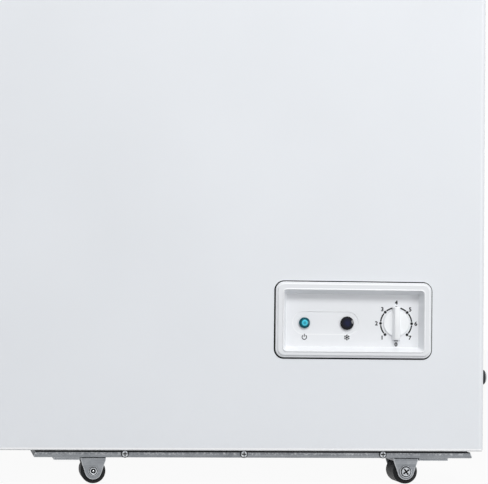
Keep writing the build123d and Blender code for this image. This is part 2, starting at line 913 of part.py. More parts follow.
with BuildPart() as thermostat_knob:
    with BuildSketch(facing(knob_back)):
        with Locations((dial_x, dial_z)):
            Circle(knob_radius)
    extrude(amount=knob_disc)
    with BuildSketch(facing(knob_back)):
        with Locations((dial_x, dial_z)):
            Rectangle(knob_ridge_width, knob_ridge_length)
    extrude(amount=knob_height)
    fillet(thermostat_knob.faces().sort_by(Axis.Y)[0].edges(), knob_ridge_width / 4)
    with BuildSketch(facing(knob_back)):
        with Locations((dial_x, dial_z)):
            Circle(shaft_radius)
    extrude(amount=knob_socket, mode=Mode.SUBTRACT)
save(thermostat_knob.part, "thermostat_knob")

# Ventilation grille on the right side of the machine bay
slat_count = int((grille_height - 4 * grille_flange) // slat_pitch) + 1
with BuildPart() as side_grille:
    with BuildSketch(sideways(right)):
        with Locations((grille_y, grille_z)):
            RectangleRounded(grille_length, grille_height, grille_flange / 2)
    extrude(amount=grille_skin)
    with BuildSketch(sideways(right)):
        with Locations((grille_y, grille_z)):
            Rectangle(
                grille_length - 2 * (grille_flange + clear),
                grille_height - 2 * (grille_flange + clear),
            )
    extrude(amount=-2 * grille_skin)
    with BuildSketch(sideways(right)):
        with Locations((grille_y, grille_z)):
            with GridLocations(0, slat_pitch, 1, slat_count):
                Rectangle(grille_length - 4 * grille_flange, slat_gap)
    extrude(amount=3 * grille_skin, both=True, mode=Mode.SUBTRACT)
save(side_grille.part, "side_grille")

# Rear cover of the machine bay, with slots and a gland for the supply lead
cover_x = (cover_left + cover_right) / 2
cover_z = (cover_bottom + cover_top) / 2
gland_x = cover_left + gland_from_left
gland_z = cover_bottom + gland_above_bottom
with BuildPart() as rear_cover:
    with BuildSketch(facing(back)):
        with Locations((cover_x, cover_z)):
            RectangleRounded(cover_right - cover_left, cover_top - cover_bottom, grille_flange)
    extrude(amount=-grille_skin)
    with BuildSketch(facing(back)):
        for column in (-1, 1):
            slot_x = cover_x + column * (cover_slot_length + cover_slot_gap) / 2
            with Locations((slot_x, cover_z + cover_slot_pitch)):
                with GridLocations(0, cover_slot_pitch, 1, cover_slots):
                    Rectangle(cover_slot_length, cover_slot_height)
        with Locations((gland_x, gland_z)):
            Circle(gland_bore + gland_wall)
    extrude(amount=-grille_skin, mode=Mode.SUBTRACT)
    drill(cover_screw_planes, screw_hole, screw_length)
save(rear_cover.part, "rear_cover")

with BuildPart() as cord_gland:
    with BuildSketch(facing(back + grille_skin)):
        with Locations((gland_x, gland_z)):
            Circle(gland_bore + gland_wall + gland_flange)
    extrude(amount=-grille_skin)
    with BuildSketch(facing(back + 2 * grille_skin)):
        with Locations((gland_x, gland_z)):
            Circle(gland_bore + gland_wall - clear / 4)
    extrude(amount=gland_length)
    with BuildSketch(facing(back + 2 * grille_skin)):
        with Locations((gland_x, gland_z)):
            Circle(gland_bore)
    extrude(amount=gland_length, mode=Mode.SUBTRACT)
save(cord_gland.part, "cord_gland")

save(screws(hinge_screw_planes + cover_screw_planes, screw_length), "back_screws")

# Drain: a tube from the well's corner to a spout on the right side
drain_points = [
    (well_right + liner_skin, drain_inlet_y, drain_z),
    (bay_left + 2 * drain_bend, drain_inlet_y, drain_z),
    (right - drain_straight, drain_y, drain_z),
    (right + spout_reach, drain_y, drain_z),
]
with BuildPart() as drain_tube:
    with BuildLine() as drain_route:
        FilletPolyline(*drain_points, radius=drain_bend)
    with BuildSketch(Plane(origin=drain_route.line @ 0, z_dir=drain_route.line % 0)):
        Circle(drain_radius + drain_wall)
        Circle(drain_radius, mode=Mode.SUBTRACT)
    sweep()
    with BuildSketch(sideways(right)):
        with Locations((drain_y, drain_z)):
            Circle(spout_flange)
            Circle(drain_radius + drain_wall / 2, mode=Mode.SUBTRACT)
    extrude(amount=drain_wall)
save(drain_tube.part, "drain_tube")

cap_seat = right + drain_wall + clear
with BuildPart() as drain_cap:
    with BuildSketch(sideways(cap_seat)):
        with Locations((drain_y, drain_z)):
            Circle(drain_radius + drain_wall + clear + cap_wall)
    extrude(amount=cap_reach - drain_wall - clear)
    fillet(drain_cap.faces().sort_by(Axis.X)[-1].edges(), cap_round)
    with BuildSketch(sideways(cap_seat)):
        with Locations((drain_y, drain_z)):
            Circle(drain_radius + drain_wall + clear)
    extrude(amount=spout_reach - drain_wall, mode=Mode.SUBTRACT)
save(drain_cap.part, "drain_cap")

with BuildPart() as drain_plug:
    with BuildSketch(sideways(well_right - clear)):
        with Locations((drain_inlet_y, drain_z)):
            Circle(plug_flange)
    extrude(amount=-plug_skin)
    with BuildSketch(sideways(well_right - clear)):
        with Locations((drain_inlet_y, drain_z)):
            Circle(drain_radius - clear)
    extrude(amount=plug_length)
    with BuildSketch(sideways(well_right - clear - plug_skin)):
        with Locations((drain_inlet_y, drain_z)):
            Rectangle(plug_skin, plug_flange)
    extrude(amount=-3 * plug_skin)
save(drain_plug.part, "drain_plug")

# Compressor: welded shell on a foot plate, rubber grommets and bolts
shell_bottom = foot_level + foot_sheet
with BuildPart() as compressor_shell:
    with BuildSketch(level(shell_bottom)):
        with Locations((compressor_x, compressor_y)):
            SlotOverall(compressor_length, compressor_breadth)
    extrude(amount=compressor_height)
    chamfer(compressor_shell.faces().sort_by(Axis.Z)[-1].edges(), compressor_dome, compressor_shoulder)
    chamfer(compressor_shell.faces().sort_by(Axis.Z)[-1].edges(), compressor_shoulder, compressor_dome)
    chamfer(compressor_shell.faces().sort_by(Axis.Z)[0].edges(), compressor_base_round)
    with BuildSketch(level(shell_bottom + compressor_height / 2)):
        with Locations((compressor_x, compressor_y)):
            SlotOverall(compressor_length + 2 * weld_bead, compressor_breadth + 2 * weld_bead)
    extrude(amount=weld_height)
save(compressor_shell.part, "compressor_shell")

with BuildPart() as compressor_foot:
    with BuildSketch(level(foot_level)):
        with Locations((compressor_x, compressor_y)):
            RectangleRounded(foot_length, foot_breadth, foot_corner)
    extrude(amount=foot_sheet)
    drill(foot_bolt_planes, bolt_radius + clear / 2, foot_level)
save(compressor_foot.part, "compressor_foot")

with BuildPart() as compressor_grommets:
    with BuildSketch(level(tray_floor)):
        with Locations(*foot_spots):
            Circle(grommet_radius)
            Circle(bolt_radius + clear / 2, mode=Mode.SUBTRACT)
    extrude(amount=grommet_height)
save(compressor_grommets.part, "compressor_grommets")

with BuildPart() as compressor_bolts:
    with BuildSketch(level(tray_bottom)):
        with Locations(*foot_spots):
            RegularPolygon(bolt_radius, screw_sides)
    extrude(amount=foot_level + foot_sheet - tray_bottom)
    with BuildSketch(level(foot_level + foot_sheet)):
        with Locations(*foot_spots):
            RegularPolygon(bolt_head, 6)
    extrude(amount=bolt_head_height)
save(compressor_bolts.part, "compressor_bolts")

relay_x = compressor_x - compressor_length / 2 - relay_reach + relay_depth / 2
with BuildPart() as relay_box:
    with BuildSketch(level(shell_bottom + relay_rise)):
        with Locations((relay_x, compressor_y)):
            Rectangle(relay_depth, relay_width)
    extrude(amount=relay_height)
    fillet(relay_box.edges().filter_by(Axis.Z), relay_corner)
    add(compressor_shell.part, mode=Mode.SUBTRACT)
save(relay_box.part, "relay_box")

# Pipes between the compressor, the condenser, the drier and the evaporator
suction_pipe = tube(
    [
        (*suction_leg, leg_end),
        (*suction_leg, shell_bottom + suction_rise),
        (compressor_x + compressor_length / 2 + clear, compressor_y, shell_bottom + suction_rise),
    ],
    coil_radius,
    suction_bend,
    pipe_sides,
)
save(suction_pipe, "suction_pipe")

discharge_x = compressor_x + discharge_from_centre
discharge_y = compressor_y - compressor_breadth / 2 - clear
discharge_z = shell_bottom + discharge_rise
crossing_z = leg_end - crossing_drop
discharge_pipe = tube(
    [
        (discharge_x, discharge_y, discharge_z),
        (discharge_x, discharge_y - discharge_loop, discharge_z),
        (discharge_x, discharge_y - discharge_loop, crossing_z),
        (condenser_in_x, discharge_y - discharge_loop, crossing_z),
        (condenser_in_x, condenser_y, crossing_z),
        (condenser_in_x, condenser_y, leg_end),
    ],
    coil_radius,
    pipe_bend,
    pipe_sides,
)
save(discharge_pipe, "discharge_pipe")

drier_y = condenser_y + drier_setback
drier_top = leg_end - crossing_drop
neck_z = (leg_end + drier_top) / 2
with BuildPart() as filter_drier:
    add(
        tube(
            [
                (condenser_out_x, condenser_y, leg_end),
                (condenser_out_x, condenser_y, neck_z),
                (condenser_out_x, drier_y, neck_z),
                (condenser_out_x, drier_y, drier_top),
            ],
            coil_radius,
            2 * coil_radius,
            pipe_sides,
        )
    )
    with BuildSketch(level(drier_top - drier_length)):
        with Locations((condenser_out_x, drier_y)):
            Circle(drier_radius)
    extrude(amount=drier_length)
    drier_rims = filter_drier.edges().filter_by(GeomType.CIRCLE)
    drier_rims = drier_rims.filter_by(lambda rim: rim.radius == drier_radius)
    chamfer(drier_rims, drier_radius / 3)
save(filter_drier.part, "filter_drier")

drier_bottom = drier_top - drier_length
capillary_z = drier_bottom - capillary_drop
capillary_tube = tube(
    [
        (condenser_out_x, drier_y, drier_bottom),
        (condenser_out_x, drier_y, capillary_z),
        (condenser_out_x, outlet_leg[1], capillary_z),
        (outlet_leg[0], outlet_leg[1], capillary_z),
        (*outlet_leg, leg_end),
    ],
    capillary_radius,
    capillary_bend,
    pipe_sides,
)
save(capillary_tube, "capillary_tube")


def lid_block(inset, bottom):
    """The lid's rounded outer form, drawn in on its sides and top."""
    with BuildPart() as block:
        with BuildSketch(level(bottom)):
            with Locations((0, (lid_front + back) / 2)):
                RectangleRounded(
                    cabinet_width + 2 * (lid_overhang - inset),
                    back - lid_front - 2 * inset,
                    lid_corner - inset,
                )
        extrude(amount=lid_top - inset - bottom)
        fillet(block.faces().sort_by(Axis.Z)[-1].edges(), lid_edge - inset)
    return block.part


# Lid skin: a painted sheet with rounded edges, open underneath
with BuildPart() as lid_skin:
    add(lid_block(0, lid_bottom))
    add(lid_block(lid_sheet, lid_bottom), mode=Mode.SUBTRACT)
    drill(handle_screw_planes + leaf_screw_planes, screw_hole, screw_length)
save(lid_skin.part, "lid_skin")


def lid_plug(inset, top):
    """The part of the lid that drops into the opening."""
    plug_bottom = cabinet_top - lid_plug_depth + inset
    with BuildPart() as plug:
        with BuildSketch(level(plug_bottom)):
            with Locations((0, middle)):
                RectangleRounded(
                    space_right - space_left - 2 * (lid_plug_gap + inset),
                    space_back - space_front - 2 * (lid_plug_gap + inset),
                    lid_plug_corner - inset,
                )
        extrude(amount=top - plug_bottom)
        fillet(plug.faces().sort_by(Axis.Z)[0].edges(), lid_edge - inset)
    return plug.part


# Lid liner: a moulded tray that closes the lid underneath
lid_floor = lid_bottom + lid_liner_skin
with BuildPart() as lid_liner:
    with BuildSketch(level(lid_bottom)):
        with Locations((0, (lid_front + back) / 2)):
            RectangleRounded(
                cabinet_width + 2 * (lid_overhang - lid_sheet - clear),
                back - lid_front - 2 * (lid_sheet + clear),
                lid_corner - lid_sheet - clear,
            )
    extrude(amount=lid_liner_skin)
    add(lid_plug(0, lid_bottom))
    add(lid_plug(lid_liner_skin, lid_floor), mode=Mode.SUBTRACT)
save(lid_liner.part, "lid_liner")

# Lid foam
with BuildPart() as lid_foam:
    add(lid_block(lid_sheet + clear, lid_floor))
    add(lid_plug(lid_liner_skin + clear, lid_floor))
    drill(handle_screw_planes + leaf_screw_planes, screw_hole, screw_length + clear)
save(lid_foam.part, "lid_foam")

# Lid gasket: a soft ring that closes on the frame
with BuildPart() as lid_gasket:
    with BuildSketch(level(cabinet_top + clear)):
        with Locations((0, middle)):
            RectangleRounded(
                cabinet_width - 2 * gasket_inset,
                cabinet_depth - 2 * gasket_inset,
                cabinet_corner + gasket_inset,
            )
            RectangleRounded(
                cabinet_width - 2 * (gasket_inset + gasket_width),
                cabinet_depth - 2 * (gasket_inset + gasket_width),
                cabinet_corner,
                mode=Mode.SUBTRACT,
            )
    extrude(amount=gasket_height - clear)
    chamfer(lid_gasket.faces().sort_by(Axis.Z)[0].edges(), gasket_height / 3)
save(lid_gasket.part, "lid_gasket")

# Lid handle: a moulded grip, hollow underneath for the fingers
with BuildPart() as lid_handle:
    with BuildSketch(facing(lid_front)):
        with Locations((0, handle_top - handle_height / 2)):
            RectangleRounded(handle_length, handle_height, handle_round)
    extrude(amount=handle_depth)
    fillet(lid_handle.faces().sort_by(Axis.Y)[0].edges(), handle_edge)
    with BuildSketch(level(handle_top - handle_height)):
        with Locations((0, lid_front - handle_depth / 2)):
            Rectangle(handle_length - 2 * handle_round, handle_depth - 2 * handle_skin)
    extrude(amount=handle_height - handle_roof, mode=Mode.SUBTRACT)
    drill(handle_screw_planes, screw_hole, handle_skin)
save(lid_handle.part, "lid_handle")

save(screws(handle_screw_planes + leaf_screw_planes, screw_length), "lid_screws")

# Hinges: a base on the cabinet's back, a leaf on the lid and a pin
knuckle_edge = hinge_width / 2
base_knuckles = ((-knuckle_edge, hinge_knuckle), (knuckle_edge - hinge_knuckle, hinge_knuckle))
leaf_knuckle_edge = knuckle_edge - hinge_knuckle - hinge_gap
leaf_knuckles = ((-leaf_knuckle_edge, 2 * leaf_knuckle_edge),)
slant_y = 0.8 * hinge_barrel
slant_z = 0.6 * hinge_barrel


def hinge_half(x, plate_low, plate_high, root_low, root_high, slant, knuckles):
    """One half of a hinge: its plate, and the knuckles that reach from it to the pin."""
    with BuildPart() as half:
        with BuildSketch(facing(back)):
            with Locations((x, (plate_low + plate_high) / 2)):
                Rectangle(hinge_width, plate_high - plate_low)
        extrude(amount=-hinge_plate)
        for edge, length in knuckles:
            with BuildSketch(sideways(x + edge)):
                with BuildLine():
                    Polyline(
                        (back, root_low),
                        (back, root_high),
                        (hinge_y + slant * slant_y, hinge_z + slant_z),
                        (hinge_y - slant * slant_y, hinge_z - slant_z),
                        close=True,
                    )
                make_face()
                with Locations((hinge_y, hinge_z)):
                    Circle(hinge_barrel)
                    Circle(hinge_pin + running, mode=Mode.SUBTRACT)
            extrude(amount=length)
        drill(hinge_screw_planes + leaf_screw_planes, screw_hole, hinge_plate)
    return half.part


with BuildPart() as hinge_bases:
    for x in hinge_centres:
        add(
            hinge_half(
                x,
                cabinet_top - hinge_base_drop,
                cabinet_top - hinge_barrel,
                cabinet_top - 3 * hinge_barrel,
                cabinet_top - hinge_barrel,
                -1,
                base_knuckles,
            )
        )
save(hinge_bases.part, "hinge_bases")

with BuildPart() as hinge_leaves:
    for x in hinge_centres:
        add(
            hinge_half(
                x,
                lid_bottom + hinge_barrel,
                lid_bottom + hinge_leaf_rise,
                lid_bottom + hinge_barrel,
                lid_bottom + 3 * hinge_barrel,
                1,
                leaf_knuckles,
            )
        )
save(hinge_leaves.part, "hinge_leaves")

with BuildPart() as hinge_pins:
    for x in hinge_centres:
        with BuildSketch(sideways(x - hinge_width / 2)):
            with Locations((hinge_y, hinge_z)):
                Circle(hinge_pin)
        extrude(amount=hinge_width)
        for edge in (-1, 1):
            with BuildSketch(sideways(x + edge * hinge_width / 2)):
                with Locations((hinge_y, hinge_z)):
                    Circle(pin_head)
            extrude(amount=edge * pin_head_height)
save(hinge_pins.part, "hinge_pins")

# Wire basket, hung by its rails on the frame's ledges at the right end
ledge_level = cabinet_top - ledge_depth
basket_x = space_right - basket_end_gap - basket_length / 2
rail_z = ledge_level + clear + basket_rail
rail_y = (space_back - space_front) / 2 + ledge_width / 2
side_y = (space_back - space_front) / 2 - basket_inset
basket_floor = rail_z - basket_height
basket_half = basket_length / 2
hoop_top = cabinet_top - lid_plug_depth - 3 * basket_rail
with BuildPart() as wire_basket:
    for side in (-1, 1):
        with BuildSketch(sideways(basket_x - basket_half)):
            with Locations((middle + side * rail_y, rail_z)):
                RegularPolygon(basket_rail, wire_sides)
        extrude(amount=basket_length)
    cross_pitch = (basket_length - 4 * basket_bend) / (basket_cross_wires - 1)
    for wire in range(basket_cross_wires):
        x = basket_x - basket_half + 2 * basket_bend + wire * cross_pitch
        points = [
            (x, middle - rail_y, rail_z),
            (x, middle - side_y, rail_z),
            (x, middle - side_y, basket_floor),
            (x, middle + side_y, basket_floor),
            (x, middle + side_y, rail_z),
            (x, middle + rail_y, rail_z),
        ]
        add(tube(points, basket_wire, basket_bend, wire_sides))
    weld_step = 1.2 * basket_wire
    long_y = side_y - weld_step
    end_x = basket_half - basket_wire
    long_pitch = (2 * long_y - 4 * basket_bend) / (basket_long_wires - 1)
    for wire in range(basket_long_wires):
        y = middle - long_y + 2 * basket_bend + wire * long_pitch
        points = [
            (basket_x - end_x, y, hoop_top),
            (basket_x - end_x, y, basket_floor + weld_step),
            (basket_x + end_x, y, basket_floor + weld_step),
            (basket_x + end_x, y, hoop_top),
        ]
        add(tube(points, basket_wire, basket_bend, wire_sides))
    hoop_x = end_x - weld_step
    hoop_pitch = (hoop_top - basket_floor) / basket_hoops
    for hoop in range(basket_hoops):
        hoop_z = hoop_top - hoop * hoop_pitch
        with BuildLine() as ring:
            FilletPolyline(
                (basket_x - hoop_x, middle - long_y, hoop_z),
                (basket_x + hoop_x, middle - long_y, hoop_z),
                (basket_x + hoop_x, middle + long_y, hoop_z),
                (basket_x - hoop_x, middle + long_y, hoop_z),
                radius=2 * basket_bend,
                close=True,
            )
        with BuildSketch(Plane(origin=ring.line @ 0, z_dir=ring.line % 0)):
            RegularPolygon(basket_wire, wire_sides)
        sweep()
save(wire_basket.part, "wire_basket")
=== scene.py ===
import json
import math

import bmesh
import bpy
from mathutils import Matrix, Vector


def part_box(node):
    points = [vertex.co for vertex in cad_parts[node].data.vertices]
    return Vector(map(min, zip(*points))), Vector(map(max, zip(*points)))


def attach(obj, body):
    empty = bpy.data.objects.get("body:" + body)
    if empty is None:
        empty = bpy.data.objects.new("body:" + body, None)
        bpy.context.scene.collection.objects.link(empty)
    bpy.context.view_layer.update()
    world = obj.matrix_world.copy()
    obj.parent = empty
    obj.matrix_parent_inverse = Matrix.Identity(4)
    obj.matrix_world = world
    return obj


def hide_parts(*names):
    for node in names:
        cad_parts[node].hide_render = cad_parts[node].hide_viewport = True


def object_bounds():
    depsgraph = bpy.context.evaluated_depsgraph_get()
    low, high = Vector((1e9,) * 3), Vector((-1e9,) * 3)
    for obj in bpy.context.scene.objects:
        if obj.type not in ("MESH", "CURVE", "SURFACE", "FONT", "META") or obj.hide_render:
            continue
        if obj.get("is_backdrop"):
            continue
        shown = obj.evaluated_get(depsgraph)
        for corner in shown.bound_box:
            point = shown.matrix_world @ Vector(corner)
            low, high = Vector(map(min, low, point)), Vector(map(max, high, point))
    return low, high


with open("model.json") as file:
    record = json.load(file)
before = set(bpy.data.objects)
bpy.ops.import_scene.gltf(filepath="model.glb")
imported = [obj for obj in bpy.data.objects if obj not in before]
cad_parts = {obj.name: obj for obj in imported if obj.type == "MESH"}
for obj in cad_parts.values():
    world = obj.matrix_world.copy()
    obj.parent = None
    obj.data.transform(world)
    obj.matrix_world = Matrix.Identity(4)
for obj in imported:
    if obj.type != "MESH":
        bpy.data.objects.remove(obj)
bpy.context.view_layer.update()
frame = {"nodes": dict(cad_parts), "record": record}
scene = bpy.context.scene
up = Vector((0, 0, 1))
to_front = Vector((0, -1, 0))
to_right = Vector((1, 0, 0))
upright = Matrix.Rotation(math.pi / 2, 4, "X")

# Places on the cabinet's front. Lengths here and below are in millimetres, unless metres are named.
# A spot or a size is given across and up, and a front or a level by how far back it lies
metre = 1000
front = -289.75
cabinet_bottom = 36.5
tray_top = cabinet_bottom - 1.5
panel = (411.5, 180.5)
panel_size = (174.0, 83.2)
rim_front = -293.75
mouth_size = (156.7, 66.9)
mouth_drop = 0.8
print_level = -282.81
dial = (460.5, 177.2)
power_spot = (357.8, 177.0)
run_spot = (405.3, 177.0)
sign_drop = 15.8


# Materials

looks = {}


def linear(code):
    """A colour written in sRGB, as the shaders need it."""
    parts = [int(code[i:i + 2], 16) / 255 for i in (1, 3, 5)]
    return (*[c / 12.92 if c <= 0.04045 else ((c + 0.055) / 1.055) ** 2.4 for c in parts], 1)


def add(tree, kind, settings, inputs):
    """Adds a node with its settings; an input is a value or the output that feeds it."""
    node = tree.nodes.new("ShaderNode" + kind)
    for name, value in settings.items():
        setattr(node, name, value)
    for name, value in inputs.items():
        if isinstance(value, bpy.types.NodeSocket):
            tree.links.new(value, node.inputs[name])
        else:
            node.inputs[name].default_value = value
    return node


def start(name, colour, rough, **constants):
    """A new material: its tree, its shader and its object coordinates in millimetres; the colour
    and the roughness hold where no pattern feeds them."""
    material = bpy.data.materials.new(name)
    material.use_nodes = True
    tree = material.node_tree
    shader = tree.nodes["Principled BSDF"]
    shader.inputs["Base Color"].default_value = linear(colour)
    shader.inputs["Roughness"].default_value = rough
    for socket, value in constants.items():
        shader.inputs[socket.replace("_", " ")].default_value = value
    metres = add(tree, "TexCoord", {}, {}).outputs["Object"]
    place = add(tree, "VectorMath", {"operation": "SCALE"}, {0: metres, "Scale": metre})
    return material, tree, shader, place.outputs[0]


def drift(tree, place, length, low, high):
    """A value that wanders between two limits over a length."""
    noise = add(tree, "TexNoise", {}, {"Vector": place, "Scale": 1 / length, "Detail": 2.0})
    limits = {"From Min": 0.3, "From Max": 0.7, "To Min": low, "To Max": high}
    return add(tree, "MapRange", {}, {"Value": noise.outputs[0], **limits}).outputs[0]


def edge_share(tree, reach):
    """How near a point lies to an edge, from 0 to 0.9 within a reach."""
    rounded = add(tree, "Bevel", {"samples": 6}, {"Radius": reach / metre}).outputs[0]
    flat = add(tree, "NewGeometry", {}, {}).outputs["True Normal"]
    agree = add(tree, "VectorMath", {"operation": "DOT_PRODUCT"}, {0: rounded, 1: flat})
    limits = {"From Min": 0.995, "From Max": 0.88, "To Min": 0.0, "To Max": 0.9}
    return add(tree, "MapRange", {}, {"Value": agree.outputs["Value"], **limits}).outputs[0]


def axis_distance(tree, place, spot):
    """How far a point lies from an axis that goes straight back from a spot on the front."""
    away = add(tree, "VectorMath", {"operation": "SUBTRACT"}, {0: place, 1: (spot[0], 0, spot[1])})
    across = add(tree, "VectorMath", {"operation": "MULTIPLY"}, {0: away.outputs[0], 1: (1, 0, 1)})
    length = add(tree, "VectorMath", {"operation": "LENGTH"}, {0: across.outputs[0]})
    return length.outputs["Value"]


def finish_with(tree, shader, share, colours, rough, relief, depth, *covers):
    """Feeds the shader two colours mixed by a share, a roughness, and a relief of a depth; each
    cover is a share and the colour that it lays over what is there."""
    dark, light = (linear(code) for code in colours)
    colour = add(tree, "Mix", {"data_type": "RGBA"}, {0: share, 6: dark, 7: light}).outputs[2]
    for cover, code in covers:
        layers = {0: cover, 6: colour, 7: linear(code)}
        colour = add(tree, "Mix", {"data_type": "RGBA"}, layers).outputs[2]
    tree.links.new(colour, shader.inputs["Base Color"])
    tree.links.new(rough, shader.inputs["Roughness"])
    bump = add(tree, "Bump", {}, {"Height": relief, "Distance": depth / metre, "Strength": 1.0})
    tree.links.new(bump.outputs[0], shader.inputs["Normal"])


def grained(look, name, colour, rough, tones, gloss, grain, **constants):
    """A finish of two tones (length of their drift, dark, light), a roughness that drifts (length,
    low, high) and a fine grain (length, depth)."""
    looks[look], tree, shader, place = start(name, colour, rough, **constants)
    tone_length, *colours = tones
    grain_length, depth = grain
    finish_with(tree, shader, drift(tree, place, tone_length, 0, 1), colours,
                drift(tree, place, *gloss), drift(tree, place, grain_length, 0, 1), depth)


# Powder-coated steel sheet of the cabinet and lid: a cool white satin skin, baked smooth, with a
# faint orange peel and a slow waviness that softens the reflections, and a painted highlight along
# the bottom hem
looks["white_paint"], tree, shader, place = start("powder_coat_white", "#E9ECEF", 0.36, IOR=1.5)
hem_highlight_starts, hem_highlight_full = cabinet_bottom + 3.2, cabinet_bottom + 2.2
height = add(tree, "SeparateXYZ", {}, {0: place}).outputs["Z"]
# Painted highlight: the paint turns whiter along the bottom hem
hem_highlight = add(tree, "MapRange", {}, {"Value": height, "From Min": hem_highlight_starts, "From Max": hem_highlight_full})
finish_with(tree, shader, drift(tree, place, 170, 0, 1), ("#E7EAEE", "#EAEDF1"),
            drift(tree, place, 60, 0.34, 0.38), drift(tree, place, 2.2, 0, 1), 0.006,
            (hem_highlight.outputs[0], "#FDFEFF"))

# Powder-coated steel of the back: the same paint a shade greyer and drier
grained("back_paint", "powder_coat_grey", "#CDD1D5", 0.5, (90, "#CACED2", "#D0D3D7"),
        (40, 0.48, 0.52), (1.6, 0.015), IOR=1.5)

# Galvanised steel, rolled and folded: a dull grey with zinc spangle and rolling streaks along its
# length, rubbed bright along its edges with a painted highlight there too, with a band of pale
# flecks just below the cabinet, and a painted shadow in the joint under the cabinet
looks["zinc_sheet"], tree, shader, place = start("galvanised_steel", "#8E9196", 0.45, Metallic=0.85)
fleck_band_starts, fleck_band_full = tray_top - 4.2, tray_top - 3.0
joint_shadow_starts, joint_shadow_full = tray_top - 1.2, tray_top - 0.6
spangle_length, streak_width, streak_share, rolled_out = 7, 1.3, 0.65, (0.02, 1, 1)
spangle = add(tree, "TexVoronoi", {}, {"Vector": place, "Scale": 1 / spangle_length})
grains = add(tree, "RGBToBW", {}, {0: spangle.outputs["Color"]}).outputs[0]
rolled = add(tree, "VectorMath", {"operation": "MULTIPLY"}, {0: place, 1: rolled_out}).outputs[0]
streaks = drift(tree, rolled, streak_width, 0, 1)
share = add(tree, "Mix", {"data_type": "FLOAT"},
            {0: streak_share, 2: grains, 3: streaks}).outputs[0]
height = add(tree, "SeparateXYZ", {}, {0: place}).outputs["Z"]
under = add(tree, "Math", {"operation": "LESS_THAN"}, {0: height, 1: cabinet_bottom}).outputs[0]
# A band of pale flecks just below the cabinet's bottom
upper = add(tree, "MapRange", {}, {"Value": height, "From Min": fleck_band_starts,
                                   "From Max": fleck_band_full, "To Max": under}).outputs[0]
flecks = add(tree, "Math", {"operation": "MULTIPLY"},
             {0: drift(tree, place, 2.4, -0.35, 0.5), 1: upper}).outputs[0]
# Painted shadow: the top of the tray under the cabinet is darkened to near black
joint_shadow = add(tree, "MapRange", {}, {"Value": height, "From Min": joint_shadow_starts,
                                  "From Max": joint_shadow_full, "To Max": under}).outputs[0]
# The bright edge cover is a painted highlight as well as rubbed wear
finish_with(tree, shader, share, ("#767A7F", "#9FA2A6"),
            drift(tree, place, 12, 0.38, 0.56), streaks, 0.01,
            (edge_share(tree, 1.6), "#D4D6D9"), (flecks, "#E4E6E8"), (joint_shadow, "#17181A"))

# Stucco-embossed aluminium of the liner: a bright skin pressed with small round hammered marks
looks["embossed_aluminium"], tree, shader, place = start("stucco_aluminium", "#C8CBCF", 0.34,
                                                         Metallic=0.9)
mark_length = 6.5
marks = add(tree, "TexVoronoi", {"feature": "SMOOTH_F1"},
            {"Vector": place, "Scale": 1 / mark_length})
finish_with(tree, shader, drift(tree, place, 45, 0, 1), ("#C5C9CD", "#CBCED2"),
            drift(tree, place, 18, 0.35, 0.38), marks.outputs["Distance"], 0.7)

# Poured polyurethane foam: a cream mass of fine cells
grained("foam", "polyurethane_foam", "#DCD2AC", 0.9, (14, "#D3C79C", "#E4DBB9"),
        (8, 0.84, 0.96), (1.2, 0.3))

# Extruded PVC and thermoformed sheet of the opening's frame and the lid's inside: a smooth milky
# white
grained("frame_plastic", "pvc_white", "#E4E7EA", 0.38, (120, "#E3E6E9", "#E7EAEC"),
        (30, 0.38, 0.41), (3, 0.006), IOR=1.53)

# Drawn aluminium tube of the coils: bright, with soft patches of handling and a faint grain
grained("coil_tube", "drawn_aluminium", "#B4B7BB", 0.38, (9, "#A4A8AC", "#C2C5C8"),
        (5, 0.32, 0.46), (0.9, 0.01), Metallic=0.95)

# Copper pipe: warm metal that darkens in patches where it was heated and handled
grained("copper", "copper_pipe", "#B06A45", 0.34, (11, "#8C5138", "#C57F57"),
        (6, 0.26, 0.46), (1.0, 0.01), Metallic=1.0)

# Bright zinc plating on the screws and pins: a pale blue-white metal with fine handling marks
grained("bright_zinc", "bright_zinc_plate", "#C9CDD1", 0.27, (2.5, "#B7BBC0", "#D6D9DC"),
        (1.6, 0.2, 0.36), (0.6, 0.01), Metallic=1.0)

# Moulded black nylon of the castor wheels, relay box and thermostat: a dark satin with a fine spark
# grain
grained("black_plastic", "nylon_black", "#17181A", 0.55, (9, "#121315", "#1D1E20"),
        (5, 0.48, 0.64), (0.8, 0.03), IOR=1.53, Specular_IOR_Level=0.2)

# Moulded ABS of the panel and handle: a clean cool white with a soft satin tool finish, with
# painted shade that greys the faces standing proud of the sheet, and a painted highlight along its
# edges
looks["white_plastic"], tree, shader, place = start("abs_white", "#EEF0F3", 0.36, IOR=1.53)
proud_shade_starts, proud_shade_full = front - 0.75, front - 2.75
depth = add(tree, "SeparateXYZ", {}, {0: place}).outputs["Y"]
# Painted shade: the faces standing proud of the sheet are greyed
proud_shade = add(tree, "MapRange", {}, {"Value": depth, "From Min": proud_shade_starts,
                                   "From Max": proud_shade_full, "To Min": 0.0, "To Max": 0.8})
share = add(tree, "Math", {"operation": "MULTIPLY_ADD"},
            {0: drift(tree, place, 40, 0, 1), 1: 0.2, 2: proud_shade.outputs[0]})
# The white edge cover is a painted highlight
finish_with(tree, shader, share.outputs[0], ("#EBEDF0", "#E8EAED"),
            drift(tree, place, 14, 0.32, 0.42), drift(tree, place, 0.9, 0, 1), 0.005,
            (edge_share(tree, 1.2), "#FDFEFF"))

# Moulded ABS of the thermostat knob: the panel's white painted a shade lighter against shade, with
# the same satin finish
grained("knob_plastic", "abs_white_painted_lighter", "#F5F7F9", 0.36, (12, "#F3F5F7", "#F7F9FB"),
        (6, 0.33, 0.4), (0.9, 0.005), IOR=1.53)

# Pad-printed ink on the panel: a soft black that lies flat, a little thinner in places
grained("ink", "pad_print_ink", "#121316", 0.6, (1.5, "#0D0E10", "#1E1F23"),
        (1.0, 0.48, 0.62), (0.5, 0.002), IOR=1.45, Specular_IOR_Level=0.3)

